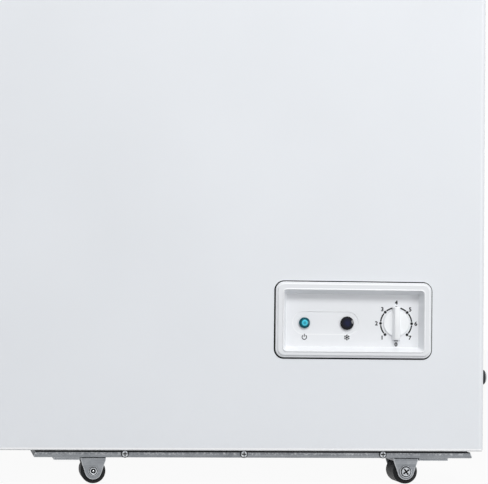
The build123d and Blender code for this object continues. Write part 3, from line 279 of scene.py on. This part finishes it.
# Tinted polycarbonate of the lit lamp: a bright cyan heart with moulded rings, falling to deep teal
# at the rim
looks["power_lens"], tree, shader, place = start("polycarbonate_cyan", "#17808F", 0.05, IOR=1.58,
                                                 Specular_IOR_Level=0.12)
heart_radius, teal_radius, turn_per_mm = 3.0, 3.9, 1.9
radius = axis_distance(tree, place, power_spot)
heart = add(tree, "MapRange", {}, {"Value": radius, "From Min": heart_radius,
                                   "From Max": teal_radius,
                                   "To Min": 1.0, "To Max": 0.0}).outputs[0]
turns = add(tree, "Math", {"operation": "MULTIPLY"}, {0: radius, 1: turn_per_mm}).outputs[0]
waves = add(tree, "Math", {"operation": "SINE"}, {0: turns}).outputs[0]
rings = add(tree, "MapRange", {}, {"Value": waves, "From Min": -1.0, "From Max": 1.0,
                                   "To Min": 1.0, "To Max": 0.45}).outputs[0]
glow = add(tree, "Math", {"operation": "MULTIPLY"}, {0: heart, 1: rings}).outputs[0]
lit = add(tree, "Mix", {"data_type": "RGBA"},
          {0: glow, 6: linear("#03505C"), 7: linear("#4CC8E0")}).outputs[2]
shine = add(tree, "MapRange", {}, {"Value": glow, "To Min": 0.0, "To Max": 0.1}).outputs[0]
tree.links.new(lit, shader.inputs["Base Color"])
tree.links.new(lit, shader.inputs["Emission Color"])
tree.links.new(shine, shader.inputs["Emission Strength"])

# Tinted polycarbonate of the unlit lamp: nearly black, with a trace of navy at its heart and a hard
# gloss
looks["run_lens"], tree, shader, place = start("polycarbonate_navy", "#10131E", 0.03, IOR=1.58,
                                               Specular_IOR_Level=0.18)
navy_radius, black_radius = 1.0, 6.0
radius = axis_distance(tree, place, run_spot)
heart = add(tree, "MapRange", {}, {"Value": radius, "From Min": navy_radius,
                                   "From Max": black_radius,
                                   "To Min": 1.0, "To Max": 0.0}).outputs[0]
finish_with(tree, shader, heart, ("#05060E", "#131A3C"),
            drift(tree, place, 3, 0.02, 0.05), drift(tree, place, 4, 0, 1), 0.002)

# Moulded polypropylene of the grille, rear cover and drain: a waxy mid grey with a fine grain
grained("grey_plastic", "polypropylene_grey", "#9DA2A6", 0.5, (50, "#969B9F", "#A6ABAF"),
        (12, 0.44, 0.58), (0.9, 0.03), IOR=1.49)

# Moulded rubber of the gland, plugs and mounts: a dusty dark grey without gloss
grained("dark_rubber", "rubber_dark", "#25272A", 0.68, (6, "#1C1E20", "#303337"),
        (4, 0.6, 0.78), (0.7, 0.03), IOR=1.52, Specular_IOR_Level=0.3)

# Soft PVC of the lid gasket: a pale grey with a slight bloom
grained("gasket", "soft_pvc_grey", "#C4C8CB", 0.55, (30, "#BDC1C4", "#CDD0D3"),
        (8, 0.48, 0.62), (1.1, 0.02), IOR=1.52)

# Closed-cell foam of the panel's seal strip, a painted shadow in the gap round the rim: black,
# dull, with fine open pores where it was cut
grained("gap_shadow_strip", "black_gap_shadow", "#121314", 0.9, (3, "#0C0D0E", "#1B1C1E"),
        (2, 0.85, 0.95), (0.6, 0.05), IOR=1.45, Specular_IOR_Level=0.1)

# Painted shade in the screws' cross recesses, a painted dark reflection round their skirts, and old
# grease with painted shade in the axles' bores and grooves: dark and dull, a little browner in
# places
grained("grime", "recess_shade_and_grease", "#1E1F20", 0.75, (1.4, "#161718", "#2B2926"),
        (0.9, 0.65, 0.85), (0.5, 0.02), IOR=1.47, Specular_IOR_Level=0.2)

# Black enamel of the compressor: thick glossy paint with runs and dust
# The same black covers the tray's stiffening bars, which show through the gap under the cabinet as
# a painted shadow line
grained("black_paint", "enamel_black", "#141517", 0.28, (22, "#0F1011", "#212326"),
        (9, 0.2, 0.42), (2.5, 0.03), IOR=1.5, Specular_IOR_Level=0.25)

# Polyethylene-dipped steel wire of the basket: a soft thick white skin
grained("coated_wire", "dipped_wire_white", "#E8EAEC", 0.4, (25, "#E1E4E6", "#EFF0F2"),
        (7, 0.34, 0.48), (1.2, 0.02), IOR=1.51)

for part in frame["record"]["subparts"]:
    for slot in frame["nodes"][part["node"]].material_slots:
        slot.material = looks[part["material_slot"]]


# New pieces

weld_reach = 0.001
sharp_angle = math.radians(38)


def place_piece(piece_name, mesh_mm, look, body, slot, *nodes):
    """Makes an object of a mesh drawn in millimetres, smooth but for its sharp edges, and lets it
    ride; look names one finish, or two with a space between for the faces marked 0 and 1."""
    bmesh.ops.remove_doubles(mesh_mm, verts=mesh_mm.verts, dist=weld_reach)
    bmesh.ops.recalc_face_normals(mesh_mm, faces=mesh_mm.faces)
    bmesh.ops.scale(mesh_mm, vec=[1 / metre] * 3, verts=mesh_mm.verts)
    mesh = bpy.data.meshes.new(piece_name)
    mesh_mm.to_mesh(mesh)
    mesh_mm.free()
    for name in look.split():
        mesh.materials.append(looks[name])
    mesh.shade_smooth()
    mesh.set_sharp_from_angle(angle=sharp_angle)
    piece = bpy.data.objects.new(piece_name, mesh)
    scene.collection.objects.link(piece)
    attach(piece, body)
    if nodes:
        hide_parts(*nodes)


def standing(origin, direction):
    """The stand of a form drawn upwards from the zero point: where it goes, and which way."""
    return Matrix.Translation(origin) @ up.rotation_difference(direction).to_matrix().to_4x4()


def add_copy(mesh_mm, mesh, stand):
    """Adds a copy of a finished mesh at a stand."""
    before = set(mesh_mm.verts)
    mesh_mm.from_mesh(mesh)
    new = [v for v in mesh_mm.verts if v not in before]
    bmesh.ops.transform(mesh_mm, matrix=stand, verts=new)


def turned(mesh_mm, profile, origin, direction, steps):
    """Turns a profile of (radius, height) points about an axis from the origin in a direction."""
    before = set(mesh_mm.verts)
    points = [mesh_mm.verts.new((radius, 0, height)) for radius, height in profile]
    lines = [mesh_mm.edges.new(pair) for pair in zip(points, points[1:])]
    bmesh.ops.spin(mesh_mm, geom=points + lines, cent=(0, 0, 0), axis=up, angle=2 * math.pi,
                   steps=steps, use_merge=True)
    new = [v for v in mesh_mm.verts if v not in before]
    bmesh.ops.transform(mesh_mm, matrix=standing(origin, direction), verts=new)


def strip_round(stand, size, corner, profile):
    """A closed strip round a rounded rectangle; each step of its profile goes inward and up."""
    strip = bmesh.new()
    bmesh.ops.create_grid(strip, x_segments=1, y_segments=1, size=0.5,
                          matrix=Matrix.Diagonal((*size, 1, 1)))
    bmesh.ops.bevel(strip, geom=strip.verts[:], offset=corner, offset_type="OFFSET",
                    affect="VERTICES", segments=8, profile=0.5, material=-1)
    middle = max(strip.faces, key=lambda face: face.calc_area())
    for inward, rise in profile:
        bmesh.ops.inset_region(strip, faces=[middle], thickness=inward, depth=rise,
                               use_even_offset=True, use_boundary=True)
    bmesh.ops.delete(strip, geom=[middle], context="FACES")
    bmesh.ops.bridge_loops(strip, edges=[e for e in strip.edges if e.is_boundary])
    bmesh.ops.transform(strip, matrix=stand, verts=strip.verts)
    return strip


def solids_of(node):
    """The corner points of each separate solid of a CAD node."""
    copy = bmesh.new()
    copy.from_mesh(frame["nodes"][node].data)
    bmesh.ops.remove_doubles(copy, verts=copy.verts, dist=weld_reach / metre)
    left = set(copy.verts)
    solids = []
    while left:
        waiting = [left.pop()]
        solid = []
        while waiting:
            corner = waiting.pop()
            solid.append(corner.co * metre)
            for edge in corner.link_edges:
                other = edge.other_vert(corner)
                if other in left:
                    left.remove(other)
                    waiting.append(other)
        solids.append(solid)
    copy.free()
    return solids


def span(points):
    """The lowest and highest corner of some points."""
    return (Vector([min(p[i] for p in points) for i in range(3)]),
            Vector([max(p[i] for p in points) for i in range(3)]))


def node_span(node):
    """The lowest and highest corner of a CAD node."""
    low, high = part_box(node)
    return low * metre, high * metre


# Pan-head screws: a pointed shank, a thin skirt under the head and a cross recess in its crown
head_radius, head_height = 3.6, 1.8
shank_radius, tip_radius, tip_length = 2.0, 0.3, 2
skirt_radius, skirt_edge, skirt_height = 4.3, 0.2, 0.6
crown_radius = 3.5
crown_profile = [(crown_radius, skirt_height), (crown_radius, 1.0), (0.96 * crown_radius, 1.5),
                 (0.88 * crown_radius, head_height)]
recess_reach, recess_half, recess_deep = 2.7, 0.6, 1.3
recess_quarter = ((recess_reach, -recess_half), (recess_reach, recess_half),
                  (recess_half, recess_half))
level_slack, radius_slack = 0.01, 0.1


def pan_head_screw(shank_length):
    """One screw, its head up from the zero point; its skirt is marked for a painted dark reflection
    and its recess for painted shade.
    """
    screw = bmesh.new()
    shank = [(0, -shank_length), (tip_radius, -shank_length),
             (shank_radius, -shank_length + tip_length), (shank_radius, 0)]
    skirt = [(skirt_radius, 0), (skirt_radius, skirt_edge)]
    turned(screw, shank + skirt + crown_profile, (0, 0, 0), up, steps=28)
    # The skirt takes a painted dark reflection
    for face in screw.faces:
        face.material_index = int(0 < face.calc_center_median().z < skirt_height)
    rim = [e for e in screw.edges if all(v.co.z > head_height - level_slack for v in e.verts)]
    corners = []
    for quarter in range(4):
        turn = Matrix.Rotation(quarter * math.pi / 2, 3, "Z")
        corners += [screw.verts.new(turn @ Vector((x, y, head_height))) for x, y in recess_quarter]
    outline = [screw.edges.new(pair) for pair in zip(corners, corners[1:] + corners[:1])]
    bmesh.ops.triangle_fill(screw, edges=rim + outline, use_beauty=True, normal=up)
    clean = set(screw.faces)
    walls = bmesh.ops.extrude_edge_only(screw, edges=outline)["geom"]
    floor = [g for g in walls if isinstance(g, bmesh.types.BMVert)]
    bmesh.ops.translate(screw, vec=(0, 0, -recess_deep), verts=floor)
    floor_edges = [g for g in walls if isinstance(g, bmesh.types.BMEdge)
                   and all(v in floor for v in g.verts)]
    bmesh.ops.contextual_create(screw, geom=floor_edges)
    # The recess walls and floor take painted shade
    for face in screw.faces:
        if face not in clean:
            face.material_index = 1
    mesh = bpy.data.meshes.new("pan_head_screw")
    screw.to_mesh(mesh)
    screw.free()
    return mesh


for node, body in (("base_screws", "cabinet"), ("back_screws", "cabinet"), ("lid_screws", "lid")):
    screws = bmesh.new()
    for points in solids_of(node):
        low, high = span(points)
        axis = max(range(3), key=lambda i: abs(high[i] - low[i] - 2 * head_radius))
        length = (high - low)[axis] - head_height
        middle = (low + high) / 2
        across = Vector([0 if i == axis else 1 for i in range(3)])
        wide = [p for p in points if ((p - middle) * across).length > head_radius - radius_slack]
        out = 1 if wide[0][axis] > middle[axis] else -1
        seat = middle.copy()
        seat[axis] += out * (length - head_height) / 2
        direction = Vector([out if i == axis else 0 for i in range(3)])
        add_copy(screws, pan_head_screw(length), standing(seat, direction))
    place_piece(node + "_cross_head", screws, "bright_zinc grime", body, "bright_zinc", node)

# Castor axles: the inner castors have a hollow rivet about a pin, the outer ones a bolt with a
# cross recess in a cup washer. A profile gives each point's radius and how far it lies behind the
# axle's end
rivet_profile = ((2.6, 1.8), (5.3, 1.8), (5.3, 0.9), (5.0, 0.6), (4.7, 0.6), (4.5, 0.9), (4.5, 1.7),
                 (3.9, 1.7), (3.9, 0.3), (3.6, 0), (3.1, 0), (2.8, 0.2), (2.6, 0.6), (2.6, 7),
                 (1.2, 7), (1.2, 0.7), (0.8, 0.3), (0, 0.2))
cup_profile = ((2.6, 1.8), (6.8, 1.8), (6.8, 0.6), (6.5, 0.3), (6.2, 0.3), (5.9, 0.6), (5.9, 1.7),
               (0, 1.7))
shade_behind = 1
outer_castor_from = 300
bolt_length, bolt_behind = 3.0, 1.3
bolt_turn = Matrix.Rotation(math.radians(35), 4, "Z")
bolt_scale = Matrix.Diagonal((1.45, 1.45, 1.1, 1))
axles = bmesh.new()
for points in solids_of("castor_axles"):
    low, high = span(points)
    centre = (low + high) / 2
    half = (high.y - low.y) / 2
    outer = abs(centre.x) > outer_castor_from
    back_end = [(radius, behind - half) for radius, behind in reversed(rivet_profile)]
    front_end = [(radius, half - behind)
                 for radius, behind in (cup_profile if outer else rivet_profile)]
    before = set(axles.faces)
    turned(axles, back_end + front_end, centre, to_front, steps=36)
    # Faces more than a millimetre in from either end take old grease with painted shade
    for face in axles.faces:
        if face not in before:
            from_middle = abs(face.calc_center_median().y - centre.y)
            face.material_index = int(from_middle < half - shade_behind)
    if outer:
        bolt_seat = Matrix.Translation(centre + to_front * (half - bolt_behind))
        add_copy(axles, pan_head_screw(bolt_length), bolt_seat @ upright @ bolt_turn @ bolt_scale)
place_piece("axle_rivets", axles, "bright_zinc grime", "cabinet", "bright_zinc", "castor_axles")

# Lamps
lens_proud, lens_bevel, dome_rise, dome_steps = 3.6, 2.4, 0.75, 8
barrel_inset = 1


def lamp(name, spot, node, look):
    """A round lens with a bevelled, slightly domed front, on a barrel through the panel."""
    low, high = node_span(node)
    radius = (high.x - low.x) / 2
    barrel, crown = radius - barrel_inset, radius - lens_bevel
    barrel_end = lens_proud - (high.y - low.y)
    rim = [(radius, 0), (radius, 1.9), (radius - 0.15, 2.1), (radius - 0.3, 2.15),
           (crown + 0.2, 2.78)]
    dome = [(crown * i / dome_steps, lens_proud - dome_rise * (i / dome_steps) ** 2)
            for i in range(dome_steps, -1, -1)]
    lens = bmesh.new()
    turned(lens, [(0, barrel_end), (barrel, barrel_end), (barrel, 0)] + rim + dome,
           (spot[0], low.y + lens_proud, spot[1]), to_front, steps=48)
    place_piece(name, lens, look, "cabinet", look, node)


lamp("power_lens", power_spot, "power_lamp", "power_lens")
lamp("run_lens", run_spot, "run_lamp", "run_lens")

# Drain cap: a hollow plug with a flange, with a painted highlight in a pale band round its dome's
# shoulder
low, high = node_span("drain_cap")
cap_radius, cap_length = (high.z - low.z) / 2, high.x - low.x
cap_spot = Vector((low.x, (low.y + high.y) / 2, (low.z + high.z) / 2))
neck_radius, body_radius, hollow_length = cap_radius - 1.6, cap_radius - 0.9, cap_length - 2
cap_hollow = [(neck_radius, 0), (neck_radius, hollow_length), (0, hollow_length)]
cap_flange = [(neck_radius, 0), (cap_radius, 0), (cap_radius, 1.6), (cap_radius - 0.4, 2.0),
              (neck_radius, 2.0), (neck_radius, 2.6), (body_radius, 2.8)]
shoulder_radius, shoulder_steps = 5, 8
shoulder_angles = [i * math.pi / 2 / shoulder_steps for i in range(shoulder_steps + 1)]
cap_dome = [(body_radius - shoulder_radius * (1 - math.cos(a)),
             cap_length - shoulder_radius + shoulder_radius * math.sin(a)) for a in shoulder_angles]
# The pale band round the shoulder is a painted highlight
highlight_from, highlight_to = low.x + 6.2, low.x + 7.7
cap = bmesh.new()
turned(cap, cap_flange + cap_dome + [(0, cap_length)], cap_spot, to_right, steps=40)
turned(cap, cap_hollow, cap_spot, to_right, steps=40)
for face in cap.faces:
    face.material_index = int(highlight_from < face.calc_center_median().x < highlight_to)
place_piece("drain_cap_cup", cap, "dark_rubber grey_plastic", "drain_cap_body", "dark_rubber",
            "drain_cap")

# Lid gasket: a hollow bellows with a flat magnet strip along its lowest face
low, high = node_span("lid_gasket")
gasket_corner = 24
bellows_profile = ((0.6, 4.0), (1.6, -1.4), (1.2, 4.0), (1.0, 1.9), (11.2, 0), (1.0, -1.9),
                   (1.2, -4.0), (1.6, 1.4), (0.6, -4.0))
gasket_top = Matrix.Translation(((low.x + high.x) / 2, (low.y + high.y) / 2, high.z))
hung = gasket_top @ Matrix.Rotation(math.pi, 4, "X")
bellows = strip_round(hung, (high - low).xy, gasket_corner, bellows_profile)
place_piece("gasket_bellows", bellows, "gasket", "lid", "gasket", "lid_gasket")

# Panel seal strip: a thin black strip round the rim that fills the gap and laps over the sheet's
# edge, a painted shadow line, a little wider below and on the left where the shade falls
shadow_lap, shadow_shift, shadow_lift, shadow_corner = 1.4, 0.2, 0.01, 10.9
shadow_profile = ((0.02, 0.1), (1.56, 0), (0.02, -0.1))
shadow_place = Matrix.Translation((panel[0] - shadow_shift, front - shadow_lift, panel[1] - shadow_shift))
shadow_size = [side + 2 * shadow_lap for side in panel_size]
shadow_strip = strip_round(shadow_place @ upright, shadow_size, shadow_corner, shadow_profile)
place_piece("panel_shadow_strip", shadow_strip, "gap_shadow_strip", "cabinet", "dark_rubber")

# Recess bead: a low rounded lip round the mouth of the panel's recess
bead_lap, bead_sunk, bead_corner = 1.6, 0.05, 5.1
bead_profile = ((0.3, 0.45), (0.4, 0.25), (0.5, 0), (0.4, -0.7))
bead_place = Matrix.Translation((panel[0], rim_front + bead_sunk, panel[1] - mouth_drop))
bead_size = [side + 2 * bead_lap for side in mouth_size]
bead = strip_round(bead_place @ upright, bead_size, bead_corner, bead_profile)
place_piece("recess_bead", bead, "white_plastic", "cabinet", "white_plastic")

# Thermostat knob: a thin bevelled disc with a ridge whose flanks lean in
low, high = node_span("thermostat_knob")
disc_profile = [(0, 0), (14.2, 0), (14.4, 0.2), (14.4, 0.5), (13.8, 1.1), (0, 1.2)]
ridge_width, ridge_height, ridge_length = 9.6, high.y - low.y, high.z - low.z
ridge_top_width, ridge_top_length, ridge_round = 0.54, 0.97, 0.7
knob_spot = Vector((dial[0], high.y, dial[1]))
knob = bmesh.new()
turned(knob, disc_profile, knob_spot, to_front, steps=64)
ridge = bmesh.ops.create_cube(knob, size=1)["verts"]
bmesh.ops.scale(knob, vec=(ridge_width, ridge_height, ridge_length), verts=ridge)
bmesh.ops.scale(knob, vec=(ridge_top_width, 1, ridge_top_length),
                verts=[v for v in ridge if v.co.y < 0])
bmesh.ops.translate(knob, vec=knob_spot + to_front * (ridge_height / 2), verts=ridge)
bmesh.ops.bevel(knob, geom=list({e for v in ridge for e in v.link_edges}), offset=ridge_round,
                offset_type="OFFSET", affect="EDGES", segments=3, profile=0.5, material=-1)
place_piece("ridged_knob", knob, "knob_plastic", "knob", "white_plastic", "thermostat_knob")

# Panel print: the dial's ring, dots and figures, and a sign under each lamp
printed = bmesh.new()
print_thickness, strike_lift = 0.03, 0.01
figure_strikes = ((-0.28, 0), (0.28, 0), (0, -0.26), (0, 0.26))
arc_step = 5


def print_arc(centre, radius, width, start_angle, sweep):
    """A printed arc, its angles counted from the right and up."""
    a = math.radians(start_angle)
    ends = [printed.verts.new((centre[0] + r * math.cos(a), print_level,
                               centre[1] + r * math.sin(a)))
            for r in (radius - width / 2, radius + width / 2)]
    line = printed.edges.new(ends)
    bmesh.ops.spin(printed, geom=[*ends, line], cent=(centre[0], print_level, centre[1]),
                   axis=to_front, angle=math.radians(sweep), steps=round(sweep / arc_step))


def print_dot(centre, radius):
    """A printed round dot."""
    stand = Matrix.Translation((centre[0], print_level, centre[1])) @ upright
    bmesh.ops.create_circle(printed, cap_ends=True, radius=radius, segments=20, matrix=stand)


def print_bar(centre, length, width, angle):
    """A printed bar about its middle, turned from the right and up."""
    stand = Matrix.Translation((centre[0], print_level, centre[1])) @ upright
    turn = Matrix.Rotation(math.radians(angle), 4, "Z") @ Matrix.Diagonal((length, width, 1, 1))
    bmesh.ops.create_grid(printed, x_segments=1, y_segments=1, size=0.5, matrix=stand @ turn)


def print_figure(text, centre, size):
    """A printed figure about its middle, struck four times a little apart so that it is bold."""
    letters = bpy.data.curves.new("figure", "FONT")
    letters.body = text
    letters.size = size
    holder = bpy.data.objects.new("figure", letters)
    scene.collection.objects.link(holder)
    bpy.context.view_layer.update()
    drawn = holder.evaluated_get(bpy.context.evaluated_depsgraph_get())
    mesh = bpy.data.meshes.new_from_object(drawn)
    low, high = span([v.co for v in mesh.vertices])
    mesh.transform(upright @ Matrix.Translation(-(low + high) / 2))
    for strike, (right, rise) in enumerate(figure_strikes):
        spot = (centre[0] + right, print_level - strike_lift * strike, centre[1] + rise)
        add_copy(printed, mesh, Matrix.Translation(spot))
    bpy.data.objects.remove(holder)


def polar(centre, radius, angle):
    """A point at a distance and an angle from a centre."""
    a = math.radians(angle)
    return centre[0] + radius * math.cos(a), centre[1] + radius * math.sin(a)


ring_radius, ring_width, dot_radius, dot_gap = 17.5, 1.55, 1.6, 6.6
figure_radius, figure_size, top_rise, zero_drop, zero_bar_drop = 22.2, 6.2, 1, 0.9, 1.7
first_angle, mark_step, top_mark, last_mark = 225, 45, 4, 7
for mark in range(1, last_mark + 1):
    angle = first_angle - mark_step * (mark - 1)
    figure_reach = figure_radius + (top_rise if mark == top_mark else 0)
    print_dot(polar(dial, ring_radius, angle), dot_radius)
    print_figure(str(mark), polar(dial, figure_reach, angle), figure_size)
    if mark < last_mark:
        print_arc(dial, ring_radius, ring_width, start_angle=angle - mark_step + dot_gap,
                  sweep=mark_step - 2 * dot_gap)
print_figure("0", (dial[0], dial[1] - figure_radius - zero_drop), figure_size)
print_bar((dial[0], dial[1] - ring_radius - zero_bar_drop), length=4.4, width=0.9, angle=0)

# The sign of a switch under the lit lamp
sign = (power_spot[0], power_spot[1] - sign_drop)
stroke_rise = 2.0
print_arc(sign, radius=2.5, width=0.9, start_angle=125, sweep=290)
print_bar((sign[0], sign[1] + stroke_rise), length=3.2, width=0.9, angle=90)

# The sign of frost under the unlit lamp: three bars, each with a fork at both ends
sign = (run_spot[0], run_spot[1] - sign_drop)
fork_reach, twig_reach, twig_lean = 1.9, 0.6, 50
for arm in range(6):
    angle = 90 + 60 * arm
    if arm < 3:
        print_bar(sign, length=6.4, width=0.75, angle=angle)
    fork = polar(sign, fork_reach, angle)
    for twig in (angle - twig_lean, angle + twig_lean):
        print_bar(polar(fork, twig_reach, twig), length=1.3, width=0.6, angle=twig)

triangles = [f for f in printed.faces if len(f.verts) == 3]
bmesh.ops.beautify_fill(printed, faces=triangles, edges=printed.edges)
raised = bmesh.ops.extrude_face_region(printed, geom=printed.faces[:], use_keep_orig=True)["geom"]
bmesh.ops.translate(printed, vec=to_front * print_thickness,
                    verts=[g for g in raised if isinstance(g, bmesh.types.BMVert)])
place_piece("panel_print", printed, "ink", "cabinet", "black_plastic")


# Stage, light and camera, in metres

def seen_share(tree):
    """1 for what the camera sees, straight, mirrored or through glass; 0 for what only lights."""
    path = add(tree, "LightPath", {}, {}).outputs
    mirrored = add(tree, "Math", {"operation": "MAXIMUM"},
                   {0: path["Is Camera Ray"], 1: path["Is Glossy Ray"]})
    seen = add(tree, "Math", {"operation": "MAXIMUM"},
               {0: mirrored.outputs[0], 1: path["Is Transmission Ray"]})
    return seen.outputs[0]


floor_half, floor_white, world_light = 12, 0.95, 0.52
floor_mesh = bmesh.new()
bmesh.ops.create_grid(floor_mesh, x_segments=1, y_segments=1, size=floor_half)
floor_data = bpy.data.meshes.new("studio_floor")
floor_mesh.to_mesh(floor_data)
floor_mesh.free()
studio_floor = bpy.data.objects.new("studio_floor", floor_data)
scene.collection.objects.link(studio_floor)
studio_floor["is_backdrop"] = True

# Pale studio floor: almost white to the eye and in reflections, with the object's soft shadow on it
floor_look = bpy.data.materials.new("studio_floor_white")
floor_look.use_nodes = True
tree = floor_look.node_tree
shader = tree.nodes["Principled BSDF"]
shader.inputs["Base Color"].default_value = linear("#A0A1A3")
shader.inputs["Roughness"].default_value = 0.9
share = add(tree, "Math", {"operation": "MULTIPLY"}, {0: seen_share(tree), 1: floor_white})
white = add(tree, "Emission", {}, {"Color": linear("#FFFFFF"), "Strength": 1.0})
both = add(tree, "MixShader", {}, {0: share.outputs[0], 1: shader.outputs[0], 2: white.outputs[0]})
tree.links.new(both.outputs[0], tree.nodes["Material Output"].inputs["Surface"])
floor_data.materials.append(floor_look)

# White surroundings: full white to the eye, about half of it as light
world = bpy.data.worlds.new("studio_white")
scene.world = world
world.use_nodes = True
tree = world.node_tree
level = add(tree, "MapRange", {}, {"Value": seen_share(tree), "To Min": world_light, "To Max": 1.0})
back = tree.nodes["Background"]
back.inputs["Color"].default_value = linear("#FFFFFF")
tree.links.new(level.outputs[0], back.inputs["Strength"])


def soft_light(name, spot, aim, size, power):
    """A rectangular soft light that looks from a spot to an aim."""
    data = bpy.data.lights.new(name, "AREA")
    data.shape = "RECTANGLE"
    data.size, data.size_y = size
    data.energy = power
    light = bpy.data.objects.new(name, data)
    light.location = spot
    light.rotation_euler = (Vector(aim) - Vector(spot)).to_track_quat("-Z", "Y").to_euler()
    scene.collection.objects.link(light)


soft_light("key_light", spot=(0.85, -2.6, 2.55), aim=(0.35, -0.29, 0.3), size=(2.0, 0.9), power=63)
soft_light("side_light", spot=(2.06, -1.89, 0.62), aim=(0.4, -0.29, 0.2), size=(0.14, 1.2),
           power=7.5)

# Camera: where it stands, and how it is turned to the right, up and about its own axis, in degrees
camera_spot = (-0.020, -2.68975, 0.178)
camera_turns = (7.3321, 2.052, 0.6095)
sensor_width, focal_length = 36, 163.005
yaw, pitch, roll = (math.radians(a) for a in camera_turns)
ahead = Vector((math.sin(yaw) * math.cos(pitch), math.cos(yaw) * math.cos(pitch), math.sin(pitch)))
level_right = Vector((math.cos(yaw), -math.sin(yaw), 0))
level_up = level_right.cross(ahead)
image_right = level_right * math.cos(roll) + level_up * math.sin(roll)
image_up = level_up * math.cos(roll) - level_right * math.sin(roll)
camera_data = bpy.data.cameras.new("camera")
camera_data.sensor_width = sensor_width
camera_data.lens = focal_length
camera = bpy.data.objects.new("camera", camera_data)
turned_axes = Matrix((image_right, image_up, -ahead)).transposed()
camera.matrix_world = Matrix.Translation(camera_spot) @ turned_axes.to_4x4()
scene.collection.objects.link(camera)
scene.camera = camera
scene.view_settings.view_transform = "Standard"

low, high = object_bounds()
